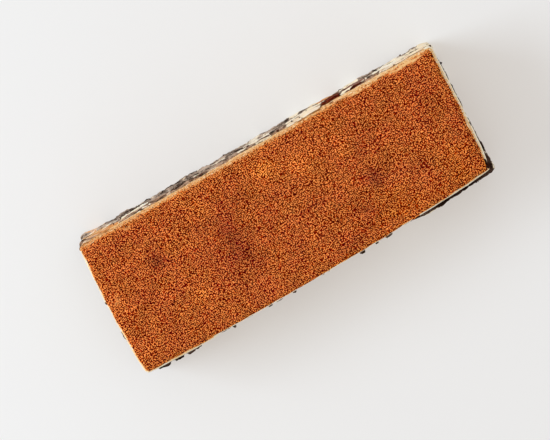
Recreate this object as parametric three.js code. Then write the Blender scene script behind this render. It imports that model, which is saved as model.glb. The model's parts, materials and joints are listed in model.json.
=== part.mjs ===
// A bar-shaped slice of tiramisu cake: two coffee-soaked sponges and two creams laid in turn, dusted with cocoa.
// Millimetres, +Z up, +X along the slice. The origin is on the surface it stands on, under the middle of the slice.
import * as THREE from "three";
import { ImprovedNoise } from "three/addons/math/ImprovedNoise.js";
import { mergeVertices } from "three/addons/utils/BufferGeometryUtils.js";

// The corners of the top face, which the knife cut a little off square, and how far each is rounded off.
const FRONT_LEFT = new THREE.Vector2(-57.6, -20.2);
const FRONT_RIGHT = new THREE.Vector2(56.4, -20.0);
const BACK_RIGHT = new THREE.Vector2(59.05, 18.45);
const BACK_LEFT = new THREE.Vector2(-55.85, 19.8);
const CORNER_RADIUS = 0.9;

// The four cut sides: how far each bows out at its middle (below zero, in), how far it leans out from the top to
// the foot, and the number of points along it.
const FRONT = { bow: 1.25, lean: 1.2, steps: 48 };
const RIGHT = { bow: 0, lean: 1.8, steps: 18 };
const BACK = { bow: -0.1, lean: 2.2, steps: 48 };
const LEFT = { bow: 0.6, lean: 0.7, steps: 18 };
const SIDES = [FRONT, RIGHT, BACK, LEFT];

// Thickness of each layer, and the clearance left between one layer and the next.
const SPONGE_THICK = 11;
const CREAM_MIDDLE_THICK = 6.5;
const CREAM_TOP_THICK = 12.4;
const COCOA_THICK = 1.1;
const LAYER_GAP = 0.3;
const HEIGHT = 2 * SPONGE_THICK + CREAM_MIDDLE_THICK + CREAM_TOP_THICK + COCOA_THICK;

// Fineness: points round a corner, and all the way round the outline of every layer.
const CORNER_STEPS = 3;
const STEPS_ROUND = SIDES.reduce((sum, side) => sum + side.steps + CORNER_STEPS, 0);

// Wavelengths of the uneven seams between the layers and of the crumb on the cut sides.
const SEAM_WAVE = 21;
const SEAM_START = 0.5;
const SEAM_STRIDE = 3.7;
const CRAG_WAVE = 5.2;
const PIT_WAVE = 2.4;

const noise = new ImprovedNoise();

// The corners of the slice at one height, anticlockwise from the front left.
function cornersAt(z) {
  const fall = 1 - z / HEIGHT;
  const left = -fall * LEFT.lean;
  const right = fall * RIGHT.lean;
  const front = -fall * FRONT.lean;
  const back = fall * BACK.lean;
  return [
    new THREE.Vector2(left, front).add(FRONT_LEFT),
    new THREE.Vector2(right, front).add(FRONT_RIGHT),
    new THREE.Vector2(right, back).add(BACK_RIGHT),
    new THREE.Vector2(left, back).add(BACK_LEFT),
  ];
}

// The outline of the slice at one height: four bowed sides joined by rounded corners, as points in order.
function outlineAt(z) {
  const corners = cornersAt(z);
  return SIDES.flatMap((side, i) => {
    const corner = corners[i];
    const next = corners[(i + 1) % 4];
    const afterNext = corners[(i + 2) % 4];
    const trim = next.clone().sub(corner).setLength(CORNER_RADIUS);
    const outward = new THREE.Vector2(trim.y, -trim.x).normalize();
    const start = corner.clone().add(trim);
    const end = next.clone().sub(trim);
    const pull = start.clone().lerp(end, 0.5).addScaledVector(outward, 2 * side.bow);
    const turned = afterNext.clone().sub(next).setLength(CORNER_RADIUS).add(next);
    const cut = new THREE.QuadraticBezierCurve(start, pull, end).getPoints(side.steps);
    const turn = new THREE.QuadraticBezierCurve(end, next, turned).getPoints(CORNER_STEPS);
    return [...cut.slice(0, -1), ...turn.slice(0, -1)];
  });
}

// The direction straight out of an outline at one of its points.
function outwardAt(outline, i) {
  const before = outline[(i + STEPS_ROUND - 1) % STEPS_ROUND];
  const after = outline[(i + 1) % STEPS_ROUND];
  return new THREE.Vector2(after.y - before.y, before.x - after.x).normalize();
}

const alongBack = (share) => BACK_LEFT.clone().lerp(BACK_RIGHT, share);
const alongFront = (share) => FRONT_LEFT.clone().lerp(FRONT_RIGHT, share);
const alongRight = (share) => FRONT_RIGHT.clone().lerp(BACK_RIGHT, share);

// How a layer runs from the middle of its underside, round its cut wall, to the middle of its top.
// reach is the share of the way out to the wall, rise the share of the way up, tuck how far an edge is rounded in.
const SPONGE_PROFILE = [
  { reach: 0, rise: 0, tuck: 0 },
  { reach: 0.9, rise: 0, tuck: 0 },
  { reach: 1, rise: 0, tuck: 0.2 },
  { reach: 1, rise: 0.25, tuck: 0 },
  { reach: 1, rise: 0.5, tuck: 0 },
  { reach: 1, rise: 0.75, tuck: 0 },
  { reach: 1, rise: 1, tuck: 0.2 },
  { reach: 0.9, rise: 1, tuck: 0 },
  { reach: 0, rise: 1, tuck: 0 },
];

const CREAM_MIDDLE_PROFILE = [
  { reach: 0, rise: 0, tuck: 0 },
  { reach: 0.9, rise: 0, tuck: 0 },
  { reach: 1, rise: 0, tuck: 0.3 },
  { reach: 1, rise: 0.3, tuck: 0 },
  { reach: 1, rise: 0.7, tuck: 0 },
  { reach: 1, rise: 1, tuck: 0.3 },
  { reach: 0.9, rise: 1, tuck: 0 },
  { reach: 0, rise: 1, tuck: 0 },
];

const CREAM_TOP_PROFILE = [
  { reach: 0, rise: 0, tuck: 0 },
  { reach: 0.9, rise: 0, tuck: 0 },
  { reach: 1, rise: 0, tuck: 0.3 },
  { reach: 1, rise: 0.3, tuck: 0 },
  { reach: 1, rise: 0.65, tuck: 0 },
  { reach: 1, rise: 0.9, tuck: 0.1 },
  { reach: 1, rise: 1, tuck: 0.7 },
  { reach: 0.9, rise: 1, tuck: 0 },
  { reach: 0, rise: 1, tuck: 0 },
];

const COCOA_PROFILE = [
  { reach: 0, rise: 0, tuck: 0 },
  { reach: 0.9, rise: 0, tuck: 0 },
  { reach: 1, rise: 0, tuck: 0.5 },
  { reach: 1, rise: 0.5, tuck: 0.55 },
  { reach: 1, rise: 1, tuck: 1.1 },
  { reach: 0.82, rise: 1, tuck: 0 },
  { reach: 0.55, rise: 1, tuck: 0 },
  { reach: 0.28, rise: 1, tuck: 0 },
  { reach: 0, rise: 1, tuck: 0 },
];

// Food colours and finish.
const SPONGE = { color: 0x3d2a24, roughness: 0.85, metalness: 0 };
const CREAM = { color: 0xf2dfb6, roughness: 0.5, metalness: 0 };
const COCOA = { color: 0xa85325, roughness: 0.95, metalness: 0 };

// The layers from the surface up. sway is how far the seam on top of a layer wanders up and down, crag and pit the
// depth of its crumb at the cut, bulge how far weight presses its wall out, and proud the places that stand out or in.
const LAYERS = [
  {
    name: "sponge_base",
    thick: SPONGE_THICK,
    sway: 0.9,
    crag: 0.8,
    pit: 0.5,
    bulge: 0.2,
    profile: SPONGE_PROFILE,
    finish: SPONGE,
    proud: [
      { at: BACK_LEFT, reach: 0.4, spread: 6 },
      { at: BACK_RIGHT, reach: -0.5, spread: 12 },
      { at: FRONT_RIGHT, reach: 0.2, spread: 6 },
    ],
  },
  {
    name: "cream_middle",
    thick: CREAM_MIDDLE_THICK,
    sway: 0.9,
    crag: 0.25,
    pit: 0.08,
    bulge: 0.3,
    profile: CREAM_MIDDLE_PROFILE,
    finish: CREAM,
    proud: [
      { at: alongBack(0.67), reach: 0.2, spread: 9 },
      { at: BACK_RIGHT, reach: -0.3, spread: 12 },
    ],
  },
  {
    name: "sponge_middle",
    thick: SPONGE_THICK,
    sway: 0.9,
    crag: 0.8,
    pit: 0.5,
    bulge: 0.2,
    profile: SPONGE_PROFILE,
    finish: SPONGE,
    proud: [
      { at: FRONT_RIGHT, reach: 0.8, spread: 5 },
      { at: alongFront(0.92), reach: 0.85, spread: 8 },
      { at: alongFront(0.83), reach: 1.1, spread: 6 },
      { at: alongFront(0.1), reach: 0.55, spread: 11 },
      { at: BACK_LEFT, reach: 0.25, spread: 3 },
    ],
  },
  {
    name: "cream_top",
    thick: CREAM_TOP_THICK,
    sway: 0.15,
    crag: 0.2,
    pit: 0.06,
    bulge: 0.3,
    profile: CREAM_TOP_PROFILE,
    finish: CREAM,
    proud: [
      { at: alongBack(0.72), reach: 0.2, spread: 10 },
      { at: FRONT_RIGHT, reach: -0.4, spread: 5 },
      { at: alongRight(0.5), reach: 0.3, spread: 13 },
    ],
  },
  {
    name: "cocoa_dusting",
    thick: COCOA_THICK,
    sway: 0.2,
    crag: 0.15,
    pit: 0.05,
    bulge: 0,
    profile: COCOA_PROFILE,
    finish: COCOA,
    proud: [],
  },
];

// Height of the seam on top of a layer at one place. The topmost one is the slice's upper face.
function seamHeight(level, x, y) {
  const nominal = LAYERS.slice(0, level + 1).reduce((sum, layer) => sum + layer.thick, 0);
  const sway = level < 0 ? 0 : LAYERS[level].sway;
  return nominal + sway * noise.noise(x / SEAM_WAVE, y / SEAM_WAVE, SEAM_STRIDE * level + SEAM_START);
}

// How far a layer's cut wall stands out from the plain outline at one place.
function wallRelief(layer, rim, z, rise) {
  const crag = layer.crag * noise.noise(rim.x / CRAG_WAVE, rim.y / CRAG_WAVE, z / CRAG_WAVE);
  const pit = layer.pit * noise.noise(rim.x / PIT_WAVE, rim.y / PIT_WAVE, z / PIT_WAVE);
  const bulge = layer.bulge * 4 * rise * (1 - rise);
  const proud = layer.proud.reduce(
    (sum, { at, reach, spread }) => sum + reach * Math.exp(-((rim.distanceTo(at) / spread) ** 2)),
    0,
  );
  return crag + pit + bulge + proud;
}

// A turned blank with the layer's profile, pressed out to the outline of the slice and between the layer's two seams.
function layerGeometry(layer, level) {
  const { profile } = layer;
  const blank = new THREE.LatheGeometry(
    profile.map(({ reach, rise }) => new THREE.Vector2(reach, rise)),
    STEPS_ROUND,
  );
  const bottom = seamHeight(level - 1, 0, 0);
  const outlines = profile.map(({ rise }) => outlineAt(bottom + rise * layer.thick));
  const gapBelow = level === 0 ? 0 : LAYER_GAP / 2;
  const gapAbove = level === LAYERS.length - 1 ? 0 : LAYER_GAP / 2;
  const position = blank.getAttribute("position");
  for (let k = 0; k < position.count; k++) {
    const ring = k % profile.length;
    const step = Math.floor(k / profile.length) % STEPS_ROUND;
    const { reach, rise, tuck } = profile[ring];
    const rim = outlines[ring][step];
    const standOut = wallRelief(layer, rim, bottom + rise * layer.thick, rise) - tuck;
    const place = rim.clone().addScaledVector(outwardAt(outlines[ring], step), standOut).multiplyScalar(reach);
    const low = seamHeight(level - 1, place.x, place.y) + gapBelow;
    const high = seamHeight(level, place.x, place.y) - gapAbove;
    position.setXYZ(k, place.x, place.y, THREE.MathUtils.lerp(low, high, rise));
  }
  blank.deleteAttribute("normal");
  blank.deleteAttribute("uv");
  const pressed = mergeVertices(blank);
  pressed.computeVertexNormals();
  return pressed;
}

const slice = new THREE.Group();
LAYERS.forEach((layer, level) => {
  const mesh = new THREE.Mesh(layerGeometry(layer, level), new THREE.MeshStandardMaterial(layer.finish));
  mesh.name = layer.name;
  slice.add(mesh);
});

// The uneven sides leave the outline a little off centre, so the slice is set with its middle over the origin.
const middle = new THREE.Box3().setFromObject(slice).getCenter(new THREE.Vector3());
slice.position.set(-middle.x, -middle.y, 0);

export default slice;
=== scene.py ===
"""Looks of a bar-shaped slice of tiramisu cake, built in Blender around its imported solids.

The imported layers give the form. Their cut walls, seams and top are sought with rays, and finer walls
with crumb, drag marks and cocoa grains are pressed onto them. Lengths are in millimetres until a mesh
is made.
"""

from __future__ import annotations

import json
import logging
import math
from dataclasses import dataclass, field
from enum import Enum

import bmesh
import bpy
import numpy as np
from mathutils import Matrix, Vector, noise
from mathutils.bvhtree import BVHTree

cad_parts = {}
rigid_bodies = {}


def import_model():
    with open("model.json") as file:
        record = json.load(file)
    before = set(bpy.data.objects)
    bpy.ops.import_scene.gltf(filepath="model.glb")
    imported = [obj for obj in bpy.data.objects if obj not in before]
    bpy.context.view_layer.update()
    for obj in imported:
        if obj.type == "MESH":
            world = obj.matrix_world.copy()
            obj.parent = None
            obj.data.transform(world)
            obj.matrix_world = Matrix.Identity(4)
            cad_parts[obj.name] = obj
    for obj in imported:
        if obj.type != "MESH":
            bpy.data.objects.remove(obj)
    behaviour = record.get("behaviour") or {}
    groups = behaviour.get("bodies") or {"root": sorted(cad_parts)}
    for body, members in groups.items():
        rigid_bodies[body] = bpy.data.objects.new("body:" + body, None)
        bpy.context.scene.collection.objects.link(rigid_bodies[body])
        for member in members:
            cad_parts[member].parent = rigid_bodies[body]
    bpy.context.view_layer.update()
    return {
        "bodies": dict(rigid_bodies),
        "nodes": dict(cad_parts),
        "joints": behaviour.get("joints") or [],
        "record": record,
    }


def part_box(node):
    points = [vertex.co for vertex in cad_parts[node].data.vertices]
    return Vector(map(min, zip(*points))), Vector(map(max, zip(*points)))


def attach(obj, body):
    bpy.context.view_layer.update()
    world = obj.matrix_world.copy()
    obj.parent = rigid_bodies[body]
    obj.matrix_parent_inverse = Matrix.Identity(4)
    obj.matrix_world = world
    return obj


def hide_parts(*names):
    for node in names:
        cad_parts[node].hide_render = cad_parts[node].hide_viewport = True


LOG = logging.getLogger("tiramisu")
MM = 0.001
BODY = "root"
UP = Vector((0.0, 0.0, 1.0))

Colour = tuple[float, float, float]
Squeeze = tuple[float, float, float]
Range = tuple[float, float]
Marks = dict[str, np.ndarray]
Socket = bpy.types.NodeSocket
Value = Socket | float | Colour

# How much patterns are squeezed along x, y and z: not at all, or drawn down the wall by the knife
EVEN: Squeeze = (1.0, 1.0, 1.0)
KNIFE_DRAWN: Squeeze = (1.0, 1.0, 0.22)

# Colours that several finishes share
DUST_FILM: Colour = (0.74, 0.30, 0.09)
PALE_FILM: Colour = (0.94, 0.58, 0.25)
COFFEE_STAIN: Colour = (0.22, 0.08, 0.014)

# The curve of display colours: a straight foot, then a power
DISPLAY_WHITE = 255.0
FOOT_END = 0.04045
FOOT_SLOPE = 12.92
POWER_OFFSET = 0.055
POWER = 2.4

# Steps through the noise, the foam and the numbers of its cells, which set seeds apart
NOISE_STEP = Vector((17.3, 5.1, 9.7))
FOAM_STEP = Vector((3.9, 11.2, 7.4))
CELL_STEP = 7.3

# How many standard deviations a blur reaches
BLUR_REACH = 2.5

# Sockets that every shared effect gives
EFFECT_OUTPUTS = {"Color": "NodeSocketColor", "Height": "NodeSocketFloat"}


class Slot(Enum):
    """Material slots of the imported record."""

    SPONGE = "sponge"
    CREAM = "cream"
    COCOA = "cocoa"


class Side(Enum):
    """The cut sides of the slice, each with the way that it faces."""

    FRONT = (0.0, -1.0)
    RIGHT = (1.0, 0.0)
    BACK = (0.0, 1.0)
    LEFT = (-1.0, 0.0)


def linear(red: float, green: float, blue: float) -> Colour:
    """Turn a display colour, with parts from 0 to 255, into the linear colour that shaders take."""
    parts = []
    for display in (red, green, blue):
        share = display / DISPLAY_WHITE
        curved = ((share + POWER_OFFSET) / (1.0 + POWER_OFFSET)) ** POWER
        parts.append(share / FOOT_SLOPE if share <= FOOT_END else curved)
    return tuple(parts)


def smooth_noise(points: np.ndarray, wave: float, seed: float) -> np.ndarray:
    """Sample smooth noise at many points.

    Args:
        points: places in mm, x, y and z last.
        wave: rough distance in mm from one swell to the next.
        seed: number that sets one noise apart from another.

    Returns:
        Values from about -1 to 1, one for each point.
    """
    shift = NOISE_STEP * seed
    flat = (points / wave).reshape(-1, 3).tolist()
    return np.array([noise.noise(Vector(p) + shift) for p in flat]).reshape(points.shape[:-1])


def foam(points: np.ndarray, cell: float, seed: float) -> tuple[np.ndarray, np.ndarray]:
    """Measure how far each point lies from the middle of the nearest cell of a random foam.

    Args:
        points: places in mm, x, y and z last.
        cell: rough size of a cell in mm.
        seed: number that sets one foam apart from another.

    Returns:
        Distances in mm, and a number from 0 to 1 that each cell keeps for itself.
    """
    shift = FOAM_STEP * seed
    away = []
    own = []
    for p in (points / cell).reshape(-1, 3).tolist():
        distances, middles = noise.voronoi(Vector(p) + shift)
        away.append(distances[0] * cell)
        own.append(0.5 + 0.5 * noise.cell(middles[0] * CELL_STEP))
    shape = points.shape[:-1]
    return np.array(away).reshape(shape), np.array(own).reshape(shape)


def ease(low: float, high: float, values: np.ndarray) -> np.ndarray:
    """Turn values into a share that eases from 0 at low to 1 at high."""
    share = np.clip((values - low) / (high - low), 0.0, 1.0)
    return share * share * (3.0 - 2.0 * share)


def rising(least: float, share: np.ndarray) -> np.ndarray:
    """Turn a share from 0 to 1 into one from least to 1."""
    return least + (1.0 - least) * share


def drawn_radii(draw: np.random.Generator, sizes: Range, count: int, skew: float) -> np.ndarray:
    """Draw radii at random.

    Args:
        draw: the random numbers.
        sizes: smallest and largest radius.
        count: how many radii.
        skew: how much commoner the small ones are, from 1 up.

    Returns:
        The radii.
    """
    small, large = sizes
    return small * (large / small) ** (draw.uniform(size=count) ** skew)


def blur(values: np.ndarray, reach: float, axis: int, wrap: bool) -> np.ndarray:
    """Soften an array along one axis with a bell-shaped weight.

    Args:
        values: the array.
        reach: standard deviation of the bell, in steps of the array.
        axis: the axis to soften along.
        wrap: whether the axis runs round and meets itself.

    Returns:
        The softened array.
    """
    half = max(1, math.ceil(BLUR_REACH * reach))
    offsets = np.arange(-half, half + 1)
    weights = np.exp(-0.5 * (offsets / reach) ** 2)
    weights /= weights.sum()
    count = values.shape[axis]
    total = np.zeros_like(values, dtype=float)
    for offset, weight in zip(offsets, weights):
        index = np.arange(count) + offset
        index = index % count if wrap else np.clip(index, 0, count - 1)
        total += weight * np.take(values, index, axis=axis)
    return total


@dataclass(frozen=True)
class Pattern:
    """A noise that colours or bends a surface.

    Attributes:
        wave: size in mm of the largest swells.
        detail: how many finer octaves there are.
        roughness: how strong the finer octaves are.
        squeeze: how much the pattern is squeezed along x, y and z.
    """

    wave: float
    detail: float = 2.0
    roughness: float = 0.5
    squeeze: Squeeze = EVEN


class Graph:
    """A shader node tree with short ways to add nodes and join them."""

    # Places of the Mix node's sockets for colours
    MIX_SHARE = 0
    MIX_FIRST = 6
    MIX_SECOND = 7
    MIX_RESULT = 2

    def __init__(self, tree: bpy.types.NodeTree) -> None:
        """Keep the tree, and add the coordinates that its patterns read.

        Args:
            tree: a material's or a group's node tree.
        """
        self.tree = tree
        self.place = self.node("ShaderNodeTexCoord").outputs["Object"]

    def node(self, kind: str, **settings: object) -> bpy.types.Node:
        """Add a node of one kind with its settings."""
        made = self.tree.nodes.new(kind)
        for name, value in settings.items():
            setattr(made, name, value)
        return made

    def feed(self, socket: Socket, value: Value) -> None:
        """Join a socket to another one, or set its own value."""
        if isinstance(value, Socket):
            self.tree.links.new(value, socket)
        elif isinstance(value, tuple) and len(value) == 3 and socket.type == "RGBA":
            socket.default_value = (*value, 1.0)
        else:
            socket.default_value = value

    def math(self, operation: str, first: Value, second: Value = 0.0, third: Value = 0.0) -> Socket:
        """Work out one value from up to three.

        Args:
            operation: name of the Math node's operation.
            first: a socket or a number.
            second: a socket or a number.
            third: a socket or a number.

        Returns:
            The result's socket.
        """
        made = self.node("ShaderNodeMath", operation=operation)
        for socket, value in zip(made.inputs, (first, second, third)):
            self.feed(socket, value)
        return made.outputs[0]

    def span(
        self, value: Socket, low: float, high: float, to_low: float = 0.0, to_high: float = 1.0
    ) -> Socket:
        """Ease a value from one range into another.

        Args:
            value: the socket to read.
            low: value that gives to_low.
            high: value that gives to_high.
            to_low: result at low and below.
            to_high: result at high and above.

        Returns:
            The result's socket.
        """
        made = self.node("ShaderNodeMapRange", interpolation_type="SMOOTHSTEP")
        for socket, number in zip(made.inputs, (value, low, high, to_low, to_high)):
            self.feed(socket, number)
        return made.outputs["Result"]

    def mix(self, share: Value, first: Value, second: Value) -> Socket:
        """Mix two colours.

        Args:
            share: how much of the second colour shows.
            first: a socket or a colour.
            second: a socket or a colour.

        Returns:
            The mixed colour's socket.
        """
        made = self.node("ShaderNodeMix", data_type="RGBA")
        self.feed(made.inputs[self.MIX_SHARE], share)
        self.feed(made.inputs[self.MIX_FIRST], first)
        self.feed(made.inputs[self.MIX_SECOND], second)
        return made.outputs[self.MIX_RESULT]

    def ramp(self, value: Socket, stops: tuple[tuple[float, Colour], ...]) -> Socket:
        """Colour a value.

        Args:
            value: the socket to read.
            stops: places from 0 to 1, each with its colour.

        Returns:
            The colour's socket.
        """
        made = self.node("ShaderNodeValToRGB")
        elements = made.color_ramp.elements
        while len(elements) < len(stops):
            elements.new(0.5)
        for element, (position, colour) in zip(elements, stops):
            element.position = position
            element.color = (*colour, 1.0)
        self.feed(made.inputs[0], value)
        return made.outputs["Color"]

    def texture(self, kind: str, size: float, **settings: object) -> tuple[bpy.types.Node, bpy.types.Node]:
        """Add a texture that reads the object's own coordinates through a mapping.

        Args:
            kind: the texture node's type.
            size: rough size of the pattern in mm.
            settings: the texture node's settings.

        Returns:
            The texture's node and the mapping's node.
        """
        made = self.node(kind, **settings)
        mapping = self.node("ShaderNodeMapping")
        self.feed(mapping.inputs["Vector"], self.place)
        self.feed(made.inputs["Vector"], mapping.outputs[0])
        made.inputs["Scale"].default_value = 1.0 / (size * MM)
        return made, mapping

    def noise(self, pattern: Pattern) -> Socket:
        """Add noise and return its value's socket, from 0 to 1."""
        made, mapping = self.texture("ShaderNodeTexNoise", pattern.wave)
        mapping.inputs["Scale"].default_value = pattern.squeeze
        made.inputs["Detail"].default_value = pattern.detail
        made.inputs["Roughness"].default_value = pattern.roughness
        return made.outputs[0]

    def cells(
        self, size: float, dimensions: str = "3D", randomness: float = 1.0, shift: float = 0.0
    ) -> tuple[Socket, Socket]:
        """Add random cells.

        Args:
            size: rough size of a cell in mm.
            dimensions: 3D, or 2D for cells that run straight down.
            randomness: how uneven the cells are, up to 1.
            shift: how far in mm they are moved, to set them apart from others.

        Returns:
            A value from 0 to 1 that each cell keeps for itself, and the distance from the cell's middle,
            measured in cell sizes.
        """
        made, mapping = self.texture("ShaderNodeTexVoronoi", size, voronoi_dimensions=dimensions)
        mapping.inputs["Location"].default_value = (shift * MM, shift * MM, 0.0)
        made.inputs["Randomness"].default_value = randomness
        parts = self.node("ShaderNodeSeparateColor")
        self.feed(parts.inputs[0], made.outputs["Color"])
        return parts.outputs[0], made.outputs["Distance"]

    def mark(self, name: str) -> Socket:
        """Read one of the piece's own marks, a value at each vertex."""
        return self.node("ShaderNodeAttribute", attribute_name=name).outputs["Fac"]

    def bump(self, height: Socket, depth: float, strength: float) -> Socket:
        """Turn a height into a bent normal.

        Args:
            height: the socket to read.
            depth: depth in mm that a height of 1 stands for.
            strength: share of the bend that is used.

        Returns:
            The normal's socket.
        """
        made = self.node("ShaderNodeBump")
        made.inputs["Strength"].default_value = strength
        made.inputs["Distance"].default_value = depth * MM
        self.feed(made.inputs["Height"], height)
        return made.outputs["Normal"]

    def placed(self, group: bpy.types.NodeTree, **values: Value) -> bpy.types.Node:
        """Place a shared effect with its own values."""
        made = self.node("ShaderNodeGroup", node_tree=group)
        for name, value in values.items():
            self.feed(made.inputs[name], value)
        return made


def shared_effect(name: str, **inputs: float) -> tuple[Graph, bpy.types.NodeOutputs, bpy.types.NodeInputs]:
    """Start a shader node group that several materials place.

    Args:
        name: the group's name.
        inputs: value inputs with their defaults.

    Returns:
        The group's graph, the sockets that it takes and the sockets that it gives.
    """
    tree = bpy.data.node_groups.new(name, "ShaderNodeTree")
    for label, default in inputs.items():
        socket = tree.interface.new_socket(label, in_out="INPUT", socket_type="NodeSocketFloat")
        socket.default_value = default
    for label, kind in EFFECT_OUTPUTS.items():
        tree.interface.new_socket(label, in_out="OUTPUT", socket_type=kind)
    graph = Graph(tree)
    taken = graph.node("NodeGroupInput").outputs
    given = graph.node("NodeGroupOutput").inputs
    return graph, taken, given


@dataclass(frozen=True)
class CocoaTone:
    """Colour of cocoa powder, from damp and shaded to dry and pale.

    Attributes:
        deep: colour of the painted shade in the gaps between grains.
        dark: colour of grains in the shade.
        plain: colour of most grains.
        light: colour of grains in the light.
        pale: colour of the driest grains.
        grain: size of a grain.
        second: size of a second layer of grains, as a share of the first.
        fine: size of single specks, as a share of a grain.
        shift: how far one layer of grains is moved against another.
        unevenness: how uneven the grains are, up to 1.
        gap: how much darker the tone gets away from the middles of grains, as painted shade in the gaps.
        speckle: how much the tone differs from speck to speck.
        level: what lifts the tone again, so that gaps and specks balance.
        cloud: slow change of the brightness.
        cloud_gain: how much it changes.
        cloud_base: brightness where the cloud is darkest.
        turn: slow change of the hue.
        turn_from: values of that noise that give the two hues.
        turn_to: the two hues, 0.5 for no change.
        packed_turn: turn of the hue where the powder has no grain.
        shade_turn: turn of the hue for a shade of 1.
    """

    deep: Colour = linear(72, 0, 0)
    dark: Colour = linear(114, 4, 0)
    plain: Colour = linear(172, 38, 0)
    light: Colour = linear(215, 85, 2)
    pale: Colour = linear(253, 158, 80)
    grain: float = 0.47
    second: float = 0.93
    fine: float = 0.6
    shift: float = 900.0
    unevenness: float = 0.68
    gap: float = 3.4
    speckle: float = 1.1
    level: float = 2.06
    cloud: Pattern = Pattern(6.0, 2.0, 0.55)
    cloud_gain: float = 0.7
    cloud_base: float = 0.65
    turn: Pattern = Pattern(5.0, 2.0, 0.6)
    turn_from: Range = (0.36, 0.64)
    turn_to: Range = (0.4955, 0.5005)
    packed_turn: float = 0.016
    shade_turn: float = 0.022

    def effect(self) -> bpy.types.NodeTree:
        """Make the group that colours cocoa by its tone.

        Returns:
            The node group, with a colour and a height.
        """
        graph, taken, given = shared_effect("cocoa_powder", Tone=0.5, Contrast=1.0, Shade=0.0)
        own, away = graph.cells(self.grain, "2D", self.unevenness)
        _, between = graph.cells(self.grain * self.second, "2D", self.unevenness, self.shift)
        single, _ = graph.cells(self.grain * self.fine, "2D", shift=2.0 * self.shift)
        speckle = graph.math("MULTIPLY_ADD", single, self.speckle, self.level)
        # Painted shade: the tone darkens away from the middles of grains of both layers, into the gaps
        # between them
        gap = graph.math("MULTIPLY", graph.math("ADD", away, between), -self.gap)
        grained = graph.math("MULTIPLY", graph.math("ADD", speckle, gap), taken["Contrast"])
        tone = graph.math("ADD", taken["Tone"], grained)
        colours = (self.deep, self.dark, self.plain, self.light, self.pale)
        stops = tuple(zip((0.0, 0.25, 0.5, 0.75, 1.0), colours))
        cloud = graph.math("MULTIPLY_ADD", graph.noise(self.cloud), self.cloud_gain, self.cloud_base)
        hue = graph.span(graph.noise(self.turn), *self.turn_from, *self.turn_to)
        packed = graph.math("MULTIPLY_ADD", taken["Contrast"], -self.packed_turn, self.packed_turn)
        turned = graph.math("MULTIPLY_ADD", taken["Shade"], self.shade_turn, packed)
        drift = graph.node("ShaderNodeHueSaturation")
        graph.feed(drift.inputs["Hue"], graph.math("ADD", hue, turned))
        # The Shade input brightens or darkens the colour: damp and dry patches, and painted light along the
        # cocoa's front and right edges
        graph.feed(drift.inputs["Value"], graph.math("ADD", cloud, taken["Shade"]))
        graph.feed(drift.inputs["Color"], graph.ramp(tone, stops))
        graph.feed(given["Color"], drift.outputs[0])
        graph.feed(given["Height"], graph.math("SUBTRACT", own, away))
        return graph.tree


@dataclass(frozen=True)
class CreamTone:
    """Colour of mascarpone cream.

    Attributes:
        warm: colour where it is warmest.
        ivory: its usual colour.
        white: colour where it is palest.
        drift: slow change of its colour.
        fine: fine change of its colour and height.
        drift_share: share of the slow change in its colour.
        fine_share: share of the fine change in its colour.
    """

    warm: Colour = linear(250, 222, 172)
    ivory: Colour = linear(254, 240, 214)
    white: Colour = linear(255, 249, 238)
    drift: Pattern = Pattern(7.0, 3.0, 0.55, (0.5, 0.5, 1.6))
    fine: Pattern = Pattern(0.8, 3.0, 0.6, (0.6, 0.6, 1.2))
    drift_share: float = 0.75
    fine_share: float = 0.25

    def effect(self) -> bpy.types.NodeTree:
        """Make the group that colours cream.

        Returns:
            The node group, with a colour and a height.
        """
        graph, _, given = shared_effect("whipped_cream")
        drift = graph.math("MULTIPLY", graph.noise(self.drift), self.drift_share)
        fine = graph.noise(self.fine)
        tone = graph.math("ADD", drift, graph.math("MULTIPLY", fine, self.fine_share))
        stops = ((0.25, self.warm), (0.5, self.ivory), (0.75, self.white))
        graph.feed(given["Color"], graph.ramp(tone, stops))
        graph.feed(given["Height"], fine)
        return graph.tree


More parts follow.
